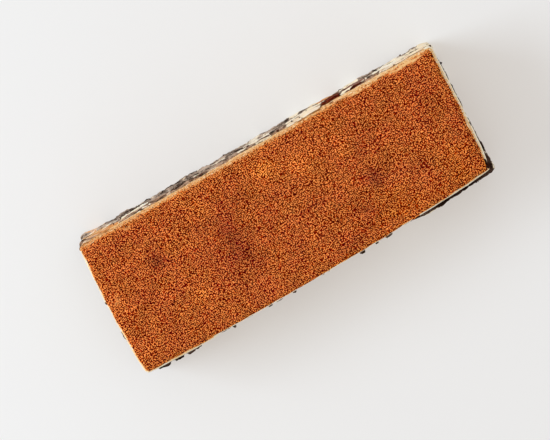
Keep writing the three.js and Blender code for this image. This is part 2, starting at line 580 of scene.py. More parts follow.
@dataclass(frozen=True)
class CrumbTone:
    """Colour of coffee-soaked sponge, from its pores to its driest crumbs.

    Attributes:
        pore: colour of the painted shade deep in the pores.
        wet: colour of the wettest crumb.
        soaked: colour of most of the crumb.
        damp: colour of damp crumb.
        dry: colour of the driest crumb.
        film: colour of the thin film of cream on it, which on the lit back wall also stands as painted sheen.
        warm_heights: heights between which cocoa warms that film.
        warmth: how much cocoa warms it at most.
        chunk_dark: darkest colour of torn crumb.
        chunk: usual colour of torn crumb.
        chunk_light: lightest colour of torn crumb.
        soak: slow change of its tone.
        crumb: fine change of its tone and height.
        drawn: streaks of the knife, along the wall.
        drawn_from: values of that noise between which a streak comes up.
        lump: size of a crumb.
        soak_share: share of the slow change in the tone.
        lump_share: share of each crumb's own tone.
        crumb_share: share of the fine change.
        drawn_share: share of the streaks.
        veil_tones: tones between which the film comes up.
        veil_shares: how much film shows at these tones.
        chunk_share: how much of the torn colour shows at most.
        pore_shade_share: how much of the painted shade in the pores shows at most.
    """

    pore: Colour = linear(22, 13, 10)
    wet: Colour = linear(32, 20, 14)
    soaked: Colour = linear(54, 37, 28)
    damp: Colour = linear(84, 63, 52)
    dry: Colour = linear(124, 102, 88)
    film: Colour = linear(224, 200, 180)
    warm_heights: Range = (12.0, 36.0)
    warmth: float = 0.8
    chunk_dark: Colour = linear(52, 8, 2)
    chunk: Colour = linear(92, 20, 6)
    chunk_light: Colour = linear(142, 62, 34)
    soak: Pattern = Pattern(4.5, 3.0, 0.6)
    crumb: Pattern = Pattern(0.6, 3.0, 0.65)
    drawn: Pattern = Pattern(1.0, 4.0, 0.68, (0.1, 0.1, 0.24))
    drawn_from: Range = (0.36, 0.64)
    lump: float = 0.8
    soak_share: float = 0.2
    lump_share: float = 0.2
    crumb_share: float = 0.24
    drawn_share: float = 0.42
    veil_tones: Range = (0.32, 0.78)
    veil_shares: Range = (0.06, 0.9)
    chunk_share: float = 0.92
    pore_shade_share: float = 0.85

    def effect(self) -> bpy.types.NodeTree:
        """Make the group that colours soaked sponge.

        Returns:
            The node group, with a colour and a height.
        """
        graph, taken, given = shared_effect("soaked_crumb", Pore=0.0, Film=0.0, Chunk=0.0)
        crumb = graph.noise(self.crumb)
        tone = self.tone(graph, crumb)
        bare = graph.ramp(tone, ((0.3, self.wet), (0.5, self.soaked), (0.7, self.damp), (0.88, self.dry)))
        torn = graph.ramp(tone, ((0.34, self.chunk_dark), (0.56, self.chunk), (0.8, self.chunk_light)))
        # The film of cream, partly painted sheen of the lit back wall, shows most over lighter crumb
        veil = graph.math("MULTIPLY", taken["Film"], graph.span(tone, *self.veil_tones, *self.veil_shares))
        place = graph.node("ShaderNodeSeparateXYZ")
        graph.feed(place.inputs[0], graph.place)
        low, high = (height * MM for height in self.warm_heights)
        warmth = graph.span(place.outputs["Z"], low, high, to_high=self.warmth)
        filmed = graph.mix(veil, bare, graph.mix(warmth, self.film, DUST_FILM))
        warmed = graph.mix(graph.math("MULTIPLY", taken["Chunk"], self.chunk_share), filmed, torn)
        # Painted shade: deep in the pores the colour darkens towards the pore colour
        sunk = graph.math("MULTIPLY", taken["Pore"], self.pore_shade_share)
        graph.feed(given["Color"], graph.mix(sunk, warmed, self.pore))
        graph.feed(given["Height"], crumb)
        return graph.tree

    def tone(self, graph: Graph, crumb: Socket) -> Socket:
        """Add up the changes of tone.

        Args:
            graph: the group's graph.
            crumb: the fine change.

        Returns:
            The tone's socket.
        """
        own, _ = graph.cells(self.lump)
        soak = graph.math("MULTIPLY", graph.noise(self.soak), self.soak_share)
        lumps = graph.math("ADD", soak, graph.math("MULTIPLY", own, self.lump_share))
        crumbs = graph.math("MULTIPLY_ADD", crumb, self.crumb_share, lumps)
        drawn = graph.span(graph.noise(self.drawn), *self.drawn_from, to_high=self.drawn_share)
        return graph.math("ADD", crumbs, drawn)


class Finish:
    """A food's material, made once and put on each piece of that food."""

    def __init__(self, name: str) -> None:
        """Start a material.

        Args:
            name: the material's name.
        """
        self.material = bpy.data.materials.new(name)
        self.material.use_nodes = True
        self.graph = Graph(self.material.node_tree)
        self.shader = self.material.node_tree.nodes["Principled BSDF"]

    def set(self, **values: Value) -> None:
        """Feed the shader's sockets, with _ in place of the spaces in their names."""
        for name, value in values.items():
            self.graph.feed(self.shader.inputs[name.replace("_", " ")], value)


class CocoaFinish(Finish):
    """Dry matt powder, toned by each clump and grain, with cream shining through where it is thin."""

    # How much a grain's height hides the cream, and where the powder is thin enough for it to show
    GRAIN_HIDES = 0.6
    SPARSE = (0.3, 0.62)
    SPARSE_SHARE = 0.9
    PALE_FROM = (0.45, 0.85)

    GRAIN_HEIGHTS = (0.0, 0.8)
    ROUGHNESS = (1.0, 0.88)
    BUMP_DEPTH = 0.06
    BUMP_STRENGTH = 0.5

    def __init__(self, cocoa: bpy.types.NodeTree) -> None:
        """Make the material.

        Args:
            cocoa: the group that colours cocoa.
        """
        super().__init__("cocoa_powder")
        graph = self.graph
        thin = graph.mark("thin")
        powder = graph.placed(
            cocoa, Tone=graph.mark("tone"), Contrast=graph.mark("grain"), Shade=graph.mark("shade")
        )
        colour, height = powder.outputs["Color"], powder.outputs["Height"]
        sparse = graph.math("MULTIPLY_ADD", height, -self.GRAIN_HIDES, thin)
        film = graph.mix(graph.span(thin, *self.PALE_FROM), DUST_FILM, PALE_FILM)
        self.set(
            Base_Color=graph.mix(graph.span(sparse, *self.SPARSE, to_high=self.SPARSE_SHARE), colour, film),
            Roughness=graph.span(height, *self.GRAIN_HEIGHTS, *self.ROUGHNESS),
            Specular_IOR_Level=0.0,
            Normal=graph.bump(height, self.BUMP_DEPTH, self.BUMP_STRENGTH),
        )


class CreamFinish(Finish):
    """Soft satin cream, stained and crumbed by the sponges and dusted with cocoa at its upper edge."""

    # Uneven edges of stains, and of dust and crumbs
    PATCHY = Pattern(1.4, 3.0, 0.6, (0.25, 0.25, 1.0))
    STAIN_FROM = (0.36, 0.6)
    STAIN_SHARES = (0.1, 1.0)
    SPECK = Pattern(0.5, 2.0, 0.65, (1.0, 1.0, 0.7))
    RAG = 0.8
    DUST_RAG = 6.0
    CRUMB_FROM = (0.36, 0.62)

    # More and more dust: a pale veil, a film, and powder that hides the cream
    VEIL_FROM = (0.02, 0.24)
    FILM_FROM = (0.24, 0.5)
    POWDER_FROM = (0.5, 0.72)
    POWDER_SHARE = 0.95
    POWDER_TONE = 0.55
    DRY_FROM = (0.05, 0.45)

    FINE_HEIGHTS = (0.25, 0.75)
    ROUGHNESS = (0.42, 0.55)
    DRY_ROUGHNESS = 0.4
    COAT = 0.12
    BUMP_DEPTH = 0.14
    BUMP_STRENGTH = 0.5

    def __init__(
        self, cream: bpy.types.NodeTree, cocoa: bpy.types.NodeTree, crumb: bpy.types.NodeTree
    ) -> None:
        """Make the material.

        Args:
            cream: the group that colours cream.
            cocoa: the group that colours cocoa.
            crumb: the group that colours soaked sponge.
        """
        super().__init__("mascarpone_cream")
        graph = self.graph
        body = graph.placed(cream)
        powder = graph.placed(cocoa, Tone=self.POWDER_TONE)
        soaked = graph.placed(crumb, Film=graph.mark("film"), Chunk=graph.mark("chunk"))
        patchy = graph.span(graph.noise(self.PATCHY), *self.STAIN_FROM, *self.STAIN_SHARES)
        stain = graph.math("MULTIPLY", graph.mark("stain"), patchy)
        rag = graph.math("MULTIPLY_ADD", graph.noise(self.SPECK), self.RAG, -0.5 * self.RAG)
        dust = graph.math("MULTIPLY", graph.mark("dust"), graph.math("MULTIPLY_ADD", rag, self.DUST_RAG, 1.0))
        veiled = graph.mix(graph.span(dust, *self.VEIL_FROM), body.outputs["Color"], PALE_FILM)
        filmed = graph.mix(graph.span(dust, *self.FILM_FROM), veiled, DUST_FILM)
        stained = graph.mix(stain, filmed, COFFEE_STAIN)
        powdered = graph.span(dust, *self.POWDER_FROM, to_high=self.POWDER_SHARE)
        dusted = graph.mix(powdered, stained, powder.outputs["Color"])
        crumbed = graph.span(graph.math("ADD", graph.mark("crumb"), rag), *self.CRUMB_FROM)
        dry = graph.math("MAXIMUM", crumbed, graph.span(dust, *self.DRY_FROM))
        satin = graph.span(body.outputs["Height"], *self.FINE_HEIGHTS, *self.ROUGHNESS)
        height = graph.math("MULTIPLY_ADD", crumbed, soaked.outputs["Height"], body.outputs["Height"])
        self.set(
            Base_Color=graph.mix(crumbed, dusted, soaked.outputs["Color"]),
            Roughness=graph.math("MULTIPLY_ADD", dry, self.DRY_ROUGHNESS, satin),
            Subsurface_Weight=0.15,
            Subsurface_Radius=(1.0, 0.65, 0.35),
            Subsurface_Scale=0.0012,
            Specular_IOR_Level=0.0,
            Coat_Weight=graph.math("MULTIPLY_ADD", dry, -self.COAT, self.COAT),
            Coat_Roughness=0.4,
            Normal=graph.bump(height, self.BUMP_DEPTH, self.BUMP_STRENGTH),
        )


class SpongeFinish(Finish):
    """Coffee-soaked crumb, moist, with painted shade deep in its pores and cream smeared over it by the
    knife.
    """

    # Uneven edges of smears, and how much smoother they are
    RAG = 0.5
    SMEAR_FROM = (0.36, 0.62)
    SMEAR_SMOOTHS = 0.75

    # Streaky tans, from cocoa's colour to coffee's
    STREAKY = Pattern(1.2, 3.0, 0.65, (0.4, 0.4, 0.8))
    STREAK_FROM = (0.32, 0.68)
    STREAK_SHARES = (0.3, 1.15)
    TAN_FROM = (0.0, 0.6)
    BROWN_FROM = (0.5, 1.0)

    CRUMB_HEIGHTS = (0.3, 0.7)
    ROUGHNESS = (0.55, 0.8)
    BUMP_DEPTH = 0.3
    BUMP_STRENGTH = 0.6

    def __init__(self, cream: bpy.types.NodeTree, crumb: bpy.types.NodeTree) -> None:
        """Make the material.

        Args:
            cream: the group that colours cream.
            crumb: the group that colours soaked sponge.
        """
        super().__init__("soaked_sponge")
        graph = self.graph
        soaked = graph.placed(
            crumb, Pore=graph.mark("pore"), Film=graph.mark("film"), Chunk=graph.mark("chunk")
        )
        body = graph.placed(cream)
        crumbly = soaked.outputs["Height"]
        rag = graph.math("MULTIPLY_ADD", crumbly, self.RAG, -0.5 * self.RAG)
        smeared = graph.span(graph.math("ADD", graph.mark("smear"), rag), *self.SMEAR_FROM)
        streaky = graph.span(graph.noise(self.STREAKY), *self.STREAK_FROM, *self.STREAK_SHARES)
        tan = graph.math("MULTIPLY", graph.mark("tan"), streaky)
        tanned = graph.mix(graph.span(tan, *self.TAN_FROM), body.outputs["Color"], DUST_FILM)
        browned = graph.mix(graph.span(tan, *self.BROWN_FROM), tanned, COFFEE_STAIN)
        coarse = graph.math("MULTIPLY_ADD", smeared, -self.SMEAR_SMOOTHS, 1.0)
        height = graph.math("MULTIPLY", crumbly, coarse)
        self.set(
            Base_Color=graph.mix(smeared, soaked.outputs["Color"], browned),
            Roughness=graph.span(crumbly, *self.CRUMB_HEIGHTS, *self.ROUGHNESS),
            Specular_IOR_Level=0.0,
            Normal=graph.bump(height, self.BUMP_DEPTH, self.BUMP_STRENGTH),
        )


@dataclass(frozen=True)
class CutGuide:
    """Columns round the slice, from points on an inner rectangle straight out to its cut walls.

    Attributes:
        half_length: half the slice's length.
        half_width: half the slice's width.
        inset: how far inside the slice's box the inner rectangle lies.
        spacing: distance between neighbouring columns.
    """

    half_length: float
    half_width: float
    inset: float = 6.0
    spacing: float = 0.28

    def columns(self) -> tuple[np.ndarray, np.ndarray]:
        """Lay out the columns, anticlockwise from the front left.

        Returns:
            Starting points and unit ways out, in x and y, one row for each column.
        """
        x = self.half_length - self.inset
        y = self.half_width - self.inset
        corners = np.array([(-x, -y), (x, -y), (x, y), (-x, y)])
        starts = []
        ways = []
        quarter = 0.5 * math.pi
        for i, side in enumerate(Side):
            corner, following = corners[i], corners[(i + 1) % len(corners)]
            steps = round(np.linalg.norm(following - corner) / self.spacing)
            along = np.linspace(0.0, 1.0, steps, endpoint=False)[:, None]
            starts.append(corner + (following - corner) * along)
            ways.append(np.tile(side.value, (steps, 1)))
            fan = round(quarter * self.inset / self.spacing)
            turn = math.atan2(side.value[1], side.value[0])
            angles = turn + np.linspace(0.0, quarter, fan, endpoint=False)
            starts.append(np.tile(following, (fan, 1)))
            ways.append(np.stack([np.cos(angles), np.sin(angles)], axis=1))
        return np.concatenate(starts), np.concatenate(ways)


class PackedLayer:
    """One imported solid, whose walls and faces are found with rays."""

    def __init__(self, solid: bpy.types.Object) -> None:
        """Read the solid's mesh.

        Args:
            solid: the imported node's object.
        """
        vertices = [v.co / MM for v in solid.data.vertices]
        self.tree = BVHTree.FromPolygons(vertices, [tuple(p.vertices) for p in solid.data.polygons])
        heights = [v.z for v in vertices]
        self.low = min(heights)
        self.high = max(heights)

    def reach(self, starts: np.ndarray, ways: np.ndarray, heights: np.ndarray) -> np.ndarray:
        """Find how far the wall lies from each column's start.

        Args:
            starts: starting points in x and y, one row for each column.
            ways: unit ways out, one row for each column.
            heights: heights to look at, rows by columns.

        Returns:
            Distances, rows by columns.
        """
        found = np.zeros(heights.shape)
        for row, levels in enumerate(heights):
            for column, level in enumerate(levels):
                origin = Vector((*starts[column], level))
                way = Vector((*ways[column], 0.0))
                _, _, _, found[row, column] = self.tree.ray_cast(origin, way)
        return found

    def face(self, places: np.ndarray, start: float, up: bool) -> np.ndarray:
        """Find the height of the first face met on the way straight up or down.

        Args:
            places: points in x and y, one row each.
            start: height to start from.
            up: whether to look up.

        Returns:
            Heights, and nan where nothing is met.
        """
        way = UP if up else -UP
        hits = [self.tree.ray_cast(Vector((x, y, start)), way)[0] for x, y in places.tolist()]
        return np.array([math.nan if hit is None else hit.z for hit in hits])


@dataclass(frozen=True)
class Ripple:
    """One kind of unevenness, as smooth noise.

    Attributes:
        wave: rough distance from one swell to the next.
        apart: number that sets it apart from others of the same seed.
        squeeze: how much it is squeezed along x, y and z.
        height: how much it moves what it is laid on, where it does.
    """

    wave: float
    apart: float
    squeeze: Squeeze = EVEN
    height: float = 1.0

    def over(self, points: np.ndarray, seed: float) -> np.ndarray:
        """Sample it at points for one seed, as values from about -1 to 1."""
        return smooth_noise(points * np.array(self.squeeze), self.wave, seed + self.apart)


@dataclass
class Wall:
    """A fine cut wall.

    Attributes:
        points: places on the wall in mm, rows by columns by x, y and z.
        ways: unit ways out, one row for each column.
        below: distance down from the wall's upper edge, rows by columns.
        above: distance up from the wall's lower edge, rows by columns.
        sway: how far the edges of patches stray along the wall and up it, rows by columns by two.
    """

    points: np.ndarray
    ways: np.ndarray
    below: np.ndarray
    above: np.ndarray
    sway: np.ndarray

    def facing(self, side: Side) -> np.ndarray:
        """Tell which columns face a side, from 1 straight at it to -1 straight away."""
        return self.ways @ np.array(side.value)


@dataclass(frozen=True)
class Patch:
    """A place on a cut side where something was dragged over the wall.

    Attributes:
        side: the cut side that it is on.
        at: its middle along that side.
        width: its width along that side.
        low: height of its lower edge.
        high: height of its upper edge.
        amount: how much of it there is, as a share for what is laid on a wall and in mm for a knob.
    """

    side: Side
    at: float
    width: float
    low: float
    high: float
    amount: float = 1.0

    # Its edge: how wide, how square at the corners, how frayed, and how far a column may face away from it
    FRINGE = 4.0
    SQUARENESS = 4
    FRAY = 0.32
    EDGE = (-0.05, 0.25)
    FACING = 0.6

    def cover(self, wall: Wall, rag: np.ndarray, sway: float = 1.0) -> np.ndarray:
        """Measure how much of it lies on each point of a wall.

        Args:
            wall: the plain wall.
            rag: noise that frays its edge.
            sway: share of the wall's sway that bends its edge.

        Returns:
            Shares from 0 to its amount, rows by columns.
        """
        axis = 0 if self.side in (Side.FRONT, Side.BACK) else 1
        along = wall.points[..., axis] + sway * wall.sway[..., 0]
        middle = 0.5 * (self.low + self.high)
        rise = wall.points[..., 2] - middle + sway * wall.sway[..., 1]
        across = self.nearness(along - self.at, 0.5 * self.width)
        upright = self.nearness(rise, self.high - middle)
        power = self.SQUARENESS
        inside = 1.0 - (across**power + upright**power) ** (1.0 / power)
        share = self.amount * ease(*self.EDGE, inside + self.FRAY * rag)
        return np.where(wall.facing(self.side) > self.FACING, share, 0.0)

    def nearness(self, offset: np.ndarray, half: float) -> np.ndarray:
        """Tell how near offsets from its middle come to its edge, from 0 well inside to 1 on the edge."""
        return np.clip(1.0 - (half - np.abs(offset)) / min(half, self.FRINGE), 0.0, None)


def laid(patches: tuple[Patch, ...], wall: Wall, rag: np.ndarray) -> np.ndarray:
    """Lay several patches on a wall, each point keeping the thickest."""
    share = np.zeros(wall.below.shape)
    for patch in patches:
        share = np.maximum(share, patch.cover(wall, rag))
    return share


def sleeve(columns: int, rows: int) -> bmesh.types.BMesh:
    """Draw a ring of edges up, row by row, into an open tube.

    Args:
        columns: vertices round the tube.
        rows: rings of vertices.

    Returns:
        The tube, whose vertices carry their column and row as layers.
    """
    bm = bmesh.new()
    column_of = bm.verts.layers.int.new("column")
    row_of = bm.verts.layers.int.new("row")
    ring = bmesh.ops.create_circle(bm, segments=columns, radius=1.0)["verts"]
    for column, vertex in enumerate(ring):
        vertex[column_of] = column
    edges = bm.edges[:]
    for row in range(1, rows):
        drawn = bmesh.ops.extrude_edge_only(bm, edges=edges)["geom"]
        for vertex in (g for g in drawn if isinstance(g, bmesh.types.BMVert)):
            vertex[row_of] = row
        edges = [g for g in drawn if isinstance(g, bmesh.types.BMEdge)]
    return bm


def finished_piece(
    bm: bmesh.types.BMesh, name: str, slot: Slot, finish: Finish, *nodes: str
) -> bpy.types.Object:
    """Turn a shape into a piece of the slice.

    Args:
        bm: the shape, in metres. It is freed.
        name: the piece's name.
        slot: the record's material slot.
        finish: the piece's material.
        nodes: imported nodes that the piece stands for.

    Returns:
        The piece's object.
    """
    bmesh.ops.recalc_face_normals(bm, faces=bm.faces[:])
    mesh = bpy.data.meshes.new(name)
    bm.to_mesh(mesh)
    bm.free()
    return dressed_piece(mesh, slot, finish, *nodes)


def dressed_piece(mesh: bpy.types.Mesh, slot: Slot, finish: Finish, *nodes: str) -> bpy.types.Object:
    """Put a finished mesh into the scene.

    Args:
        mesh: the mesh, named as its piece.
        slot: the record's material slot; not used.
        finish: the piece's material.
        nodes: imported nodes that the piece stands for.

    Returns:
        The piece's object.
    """
    mesh.shade_smooth()
    mesh.materials.append(finish.material)
    piece = bpy.data.objects.new(mesh.name, mesh)
    bpy.context.scene.collection.objects.link(piece)
    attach(piece, BODY)
    if nodes:
        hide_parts(*nodes)
    LOG.info("%s: %d faces", piece.name, len(mesh.polygons))
    return piece


@dataclass
class CakeLayer:
    """A layer of the slice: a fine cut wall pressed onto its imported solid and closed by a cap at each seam.

    Attributes:
        node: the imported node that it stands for.
        slot: the record's material slot.
        row_height: height of a row of the wall.
        grow_low: how far it reaches past its lower seam.
        grow_high: how far it reaches past its upper seam.
        round_low: radius of its lower edge.
        round_high: radius of its upper edge.
        seed: number that sets its unevenness apart.
        round_back: how much larger the upper edge's radius is at the back.
        knobs: lumps that stand out, or hollows, by their amounts in mm.
        wall: its fine wall, once it is built.
    """

    node: str
    slot: Slot
    row_height: float
    grow_low: float
    grow_high: float
    round_low: float
    round_high: float
    seed: float
    round_back: float = 0.0
    knobs: tuple[Patch, ...] = ()
    wall: Wall | None = None

    # Where rays seek the solid's seams and walls, and how far what they find is softened, in columns and rows
    PROBE_INSET = 1.6
    PROBE_MARGIN = 0.8
    SOFTEN_SEAM = 3.0
    SOFTEN_COLUMNS = 1.6
    SOFTEN_ROWS = 2.0

    # Width of the caps' rims, and the height that no wall goes below
    CAP_INSET = 5.0
    FLOOR = 0.0

    # Unevenness of its knobs, and how the edges of patches sway along the wall and up it
    KNOB_RAG = Ripple(1.9, 7)
    SWAY_ALONG = (Ripple(5.0, 8, height=3.4), Ripple(1.4, 9, height=1.2))
    SWAY_UP = (Ripple(4.0, 10, height=2.6), Ripple(1.4, 11, height=1.2))

    def relief(self, wall: Wall) -> tuple[np.ndarray, Marks]:
        """Work out how far the wall stands out at each point.

        Args:
            wall: the plain wall.

        Returns:
            Distances in mm, and the marks that the finish reads.
        """
        return np.zeros(wall.below.shape), {}

    def survey(self, solid: PackedLayer, guide: CutGuide) -> Wall:
        """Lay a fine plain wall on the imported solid.

        Args:
            solid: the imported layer.
            guide: the columns to lay it on.

        Returns:
            The wall, with its edges rounded.
        """
        starts, ways = guide.columns()
        middle = 0.5 * (solid.low + solid.high)
        reach = solid.reach(starts, ways, np.full((1, len(starts)), middle))[0]
        inner = starts + ways * (reach - self.PROBE_INSET)[:, None]
        foot = solid.face(inner, middle, up=False)
        crown = solid.face(inner, middle, up=True)
        low = blur(foot, self.SOFTEN_SEAM, 0, True) - self.grow_low
        high = blur(crown, self.SOFTEN_SEAM, 0, True) + self.grow_high
        rows = round(float(np.mean(high - low)) / self.row_height) + 1
        heights = low + np.linspace(0.0, 1.0, rows)[:, None] * (high - low)
        probes = np.clip(heights, foot + self.PROBE_MARGIN, crown - self.PROBE_MARGIN - self.round_high)
        flat = starts + ways * solid.reach(starts, ways, probes)[..., None]
        flat = blur(blur(flat, self.SOFTEN_COLUMNS, 1, True), self.SOFTEN_ROWS, 0, False)
        below = high - heights
        above = heights - low
        radius_high = self.round_high + self.round_back * np.clip(ways[:, 1], 0.0, 1.0) ** 2
        radius_low = np.full(len(ways), self.round_low)
        drawn_in = self.rounding(below, radius_high) + self.rounding(above, radius_low)
        flat -= ways * drawn_in[..., None]
        points = np.concatenate([flat, heights[..., None]], axis=2)
        return Wall(points, ways, below, above, self.swayed(points))

    def swayed(self, points: np.ndarray) -> np.ndarray:
        """Work out how far the edges of patches stray at each point of a wall.

        Args:
            points: places on the wall in mm.

        Returns:
            Distances along the wall and up it, rows by columns by two.
        """
        along, upward = (
            sum(ripple.height * ripple.over(points, self.seed) for ripple in ripples)
            for ripples in (self.SWAY_ALONG, self.SWAY_UP)
        )
        return np.stack([along, upward], axis=-1)

    @staticmethod
    def rounding(distance: np.ndarray, radius: np.ndarray) -> np.ndarray:
        """Work out how far an edge of that radius draws a wall in, at distances from the edge."""
        short = np.clip(radius - distance, 0.0, radius)
        return radius - np.sqrt(radius**2 - short**2)

    def build(self, solid: PackedLayer, guide: CutGuide, finish: Finish) -> bpy.types.Object:
        """Make the layer's piece.

        Args:
            solid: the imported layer.
            guide: the columns to lay its wall on.
            finish: the layer's material.

        Returns:
            The piece's object.
        """
        wall = self.survey(solid, guide)
        stand_out, marks = self.relief(wall)
        rag = self.KNOB_RAG.over(wall.points, self.seed)
        stand_out = sum((knob.cover(wall, rag, sway=0.0) for knob in self.knobs), stand_out)
        wall.points[..., :2] += wall.ways * stand_out[..., None]
        wall.points[..., 2] = np.maximum(wall.points[..., 2], self.FLOOR)
        self.wall = wall
        rows, columns = stand_out.shape
        bm = sleeve(columns, rows)
        column_of = bm.verts.layers.int["column"]
        row_of = bm.verts.layers.int["row"]
        layers = {name: bm.verts.layers.float.new(name) for name in marks}
        for vertex in bm.verts:
            row, column = vertex[row_of], vertex[column_of]
            vertex.co = Vector(wall.points[row, column]) * MM
            for name, layer in layers.items():
                vertex[layer] = marks[name][row, column]
        border = [e for e in bm.edges if e.is_boundary]
        loops = [[e for e in border if e.verts[0][row_of] == row] for row in (0, rows - 1)]
        for loop in loops:
            self.cap(bm, loop)
        for name in ("column", "row"):
            bm.verts.layers.int.remove(bm.verts.layers.int[name])
        return finished_piece(bm, self.node + "_cut", self.slot, finish, self.node)

    def cap(self, bm: bmesh.types.BMesh, loop: list[bmesh.types.BMEdge]) -> None:
        """Close one end of the wall with a flat rim and a face.

        Args:
            bm: the layer's shape, in metres.
            loop: the edges at that end.
        """
        column_of = bm.verts.layers.int["column"]
        drawn = bmesh.ops.extrude_edge_only(bm, edges=loop)["geom"]
        for vertex in (g for g in drawn if isinstance(g, bmesh.types.BMVert)):
            inward = Vector((*self.wall.ways[vertex[column_of]], 0.0)) * -self.CAP_INSET
            vertex.co += inward * MM
        bmesh.ops.edgeloop_fill(bm, edges=[g for g in drawn if isinstance(g, bmesh.types.BMEdge)])


@dataclass
class SpongeLayer(CakeLayer):
    """A coffee-soaked sponge with an open crumb, smeared with cream in places.

    Attributes:
        smears: cream on it.
        tans: smears that cocoa has tanned, up to 0.5, or coffee browned, above that.
        films_and_sheen: places with a thin greyish film of cream, which also stands as painted sheen on the
            lit back wall.
        chunks: places torn to the warm brown inside.
    """

    smears: tuple[Patch, ...] = ()
    tans: tuple[Patch, ...] = ()
    films_and_sheen: tuple[Patch, ...] = ()
    chunks: tuple[Patch, ...] = ()

    # Unevenness of its wall, and of what is laid on it
    SWELL = Ripple(3.6, 0, height=0.34)
    CRUMB = Ripple(1.05, 1, height=0.28)
    RAG = Ripple(1.9, 3, KNIFE_DRAWN)
    DRAG = Ripple(2.2, 4, (0.3, 0.3, 1.0), height=0.12)
    STRAY = Ripple(4.2, 5, (0.45, 0.45, 1.0))
    STREAK = Ripple(0.75, 6, KNIFE_DRAWN, height=0.14)
    GAP = Ripple(2.2, 12, (0.4, 0.4, 1.0))

    # Pores: the foam that they are cells of, their depth, and their radii as shares of a cell
    PORE_CELL = 1.6
    PORE_APART = 2
    PORE_DEPTH = 0.85
    PORE_LEAST = 0.1
    PORE_SPREAD = 0.42

    # How much the crumb frays edges, and where gaps in smears and stray smears come up
    RAG_FRAY = 0.5
    GAP_FRAY = 0.3
    GAP_FROM = (0.2, 0.45)
    GAP_SHARE = 0.85
    STRAY_FRAY = 0.25
    STRAY_DRAG = 0.1
    STRAY_FROM = (0.46, 0.62)
    TAN_FROM = (0.0, 0.5)
    SMEAR_LIFT = 0.12

    def relief(self, wall: Wall) -> tuple[np.ndarray, Marks]:
        """Raise crumb, sink pores and lay smears on the wall.

        Args:
            wall: the plain wall.

        Returns:
            Distances in mm, and the marks pore, which is painted shade in the pores, smear, tan, film, which
            is partly painted sheen, and chunk.
        """
        points = wall.points
        crumb = self.CRUMB.over(points, self.seed)
        drag = self.DRAG.over(points, self.seed)
        rag = self.RAG.over(points, self.seed) + self.RAG_FRAY * crumb
        gap = ease(*self.GAP_FROM, self.GAP.over(points, self.seed) + self.GAP_FRAY * crumb)
        stray = self.STRAY.over(points, self.seed) + self.STRAY_FRAY * crumb
        tan = laid(self.tans, wall, rag)
        smear = np.maximum(laid(self.smears, wall, rag), ease(*self.TAN_FROM, tan))
        smear = smear * (1.0 - self.GAP_SHARE * gap)
        smear = np.maximum(smear, ease(*self.STRAY_FROM, stray + self.STRAY_DRAG * drag))
        pore = self.pores(points)
        swell = self.SWELL.height * self.SWELL.over(points, self.seed)
        streak = self.STREAK.height * self.STREAK.over(points, self.seed)
        rough = swell + self.CRUMB.height * crumb + streak - self.PORE_DEPTH * pore
        smooth = swell + self.DRAG.height * drag + self.SMEAR_LIFT
        marks = {
            # Painted shade in the pores, left out under smears
            "pore": pore * (1.0 - smear),
            "smear": smear,
            "tan": tan,
            # A film of cream, partly painted sheen on the lit back wall
            "film": laid(self.films_and_sheen, wall, rag),
            "chunk": laid(self.chunks, wall, rag),
        }
        return rough + (smooth - rough) * smear, marks

    def pores(self, points: np.ndarray) -> np.ndarray:
        """Work out how deep in a pore each point lies, from 0 outside to 1 at the middle."""
        away, own = foam(points, self.PORE_CELL, self.seed + self.PORE_APART)
        radius = self.PORE_CELL * (self.PORE_LEAST + self.PORE_SPREAD * own)
        return ease(0.0, 1.0, 1.0 - away / radius)


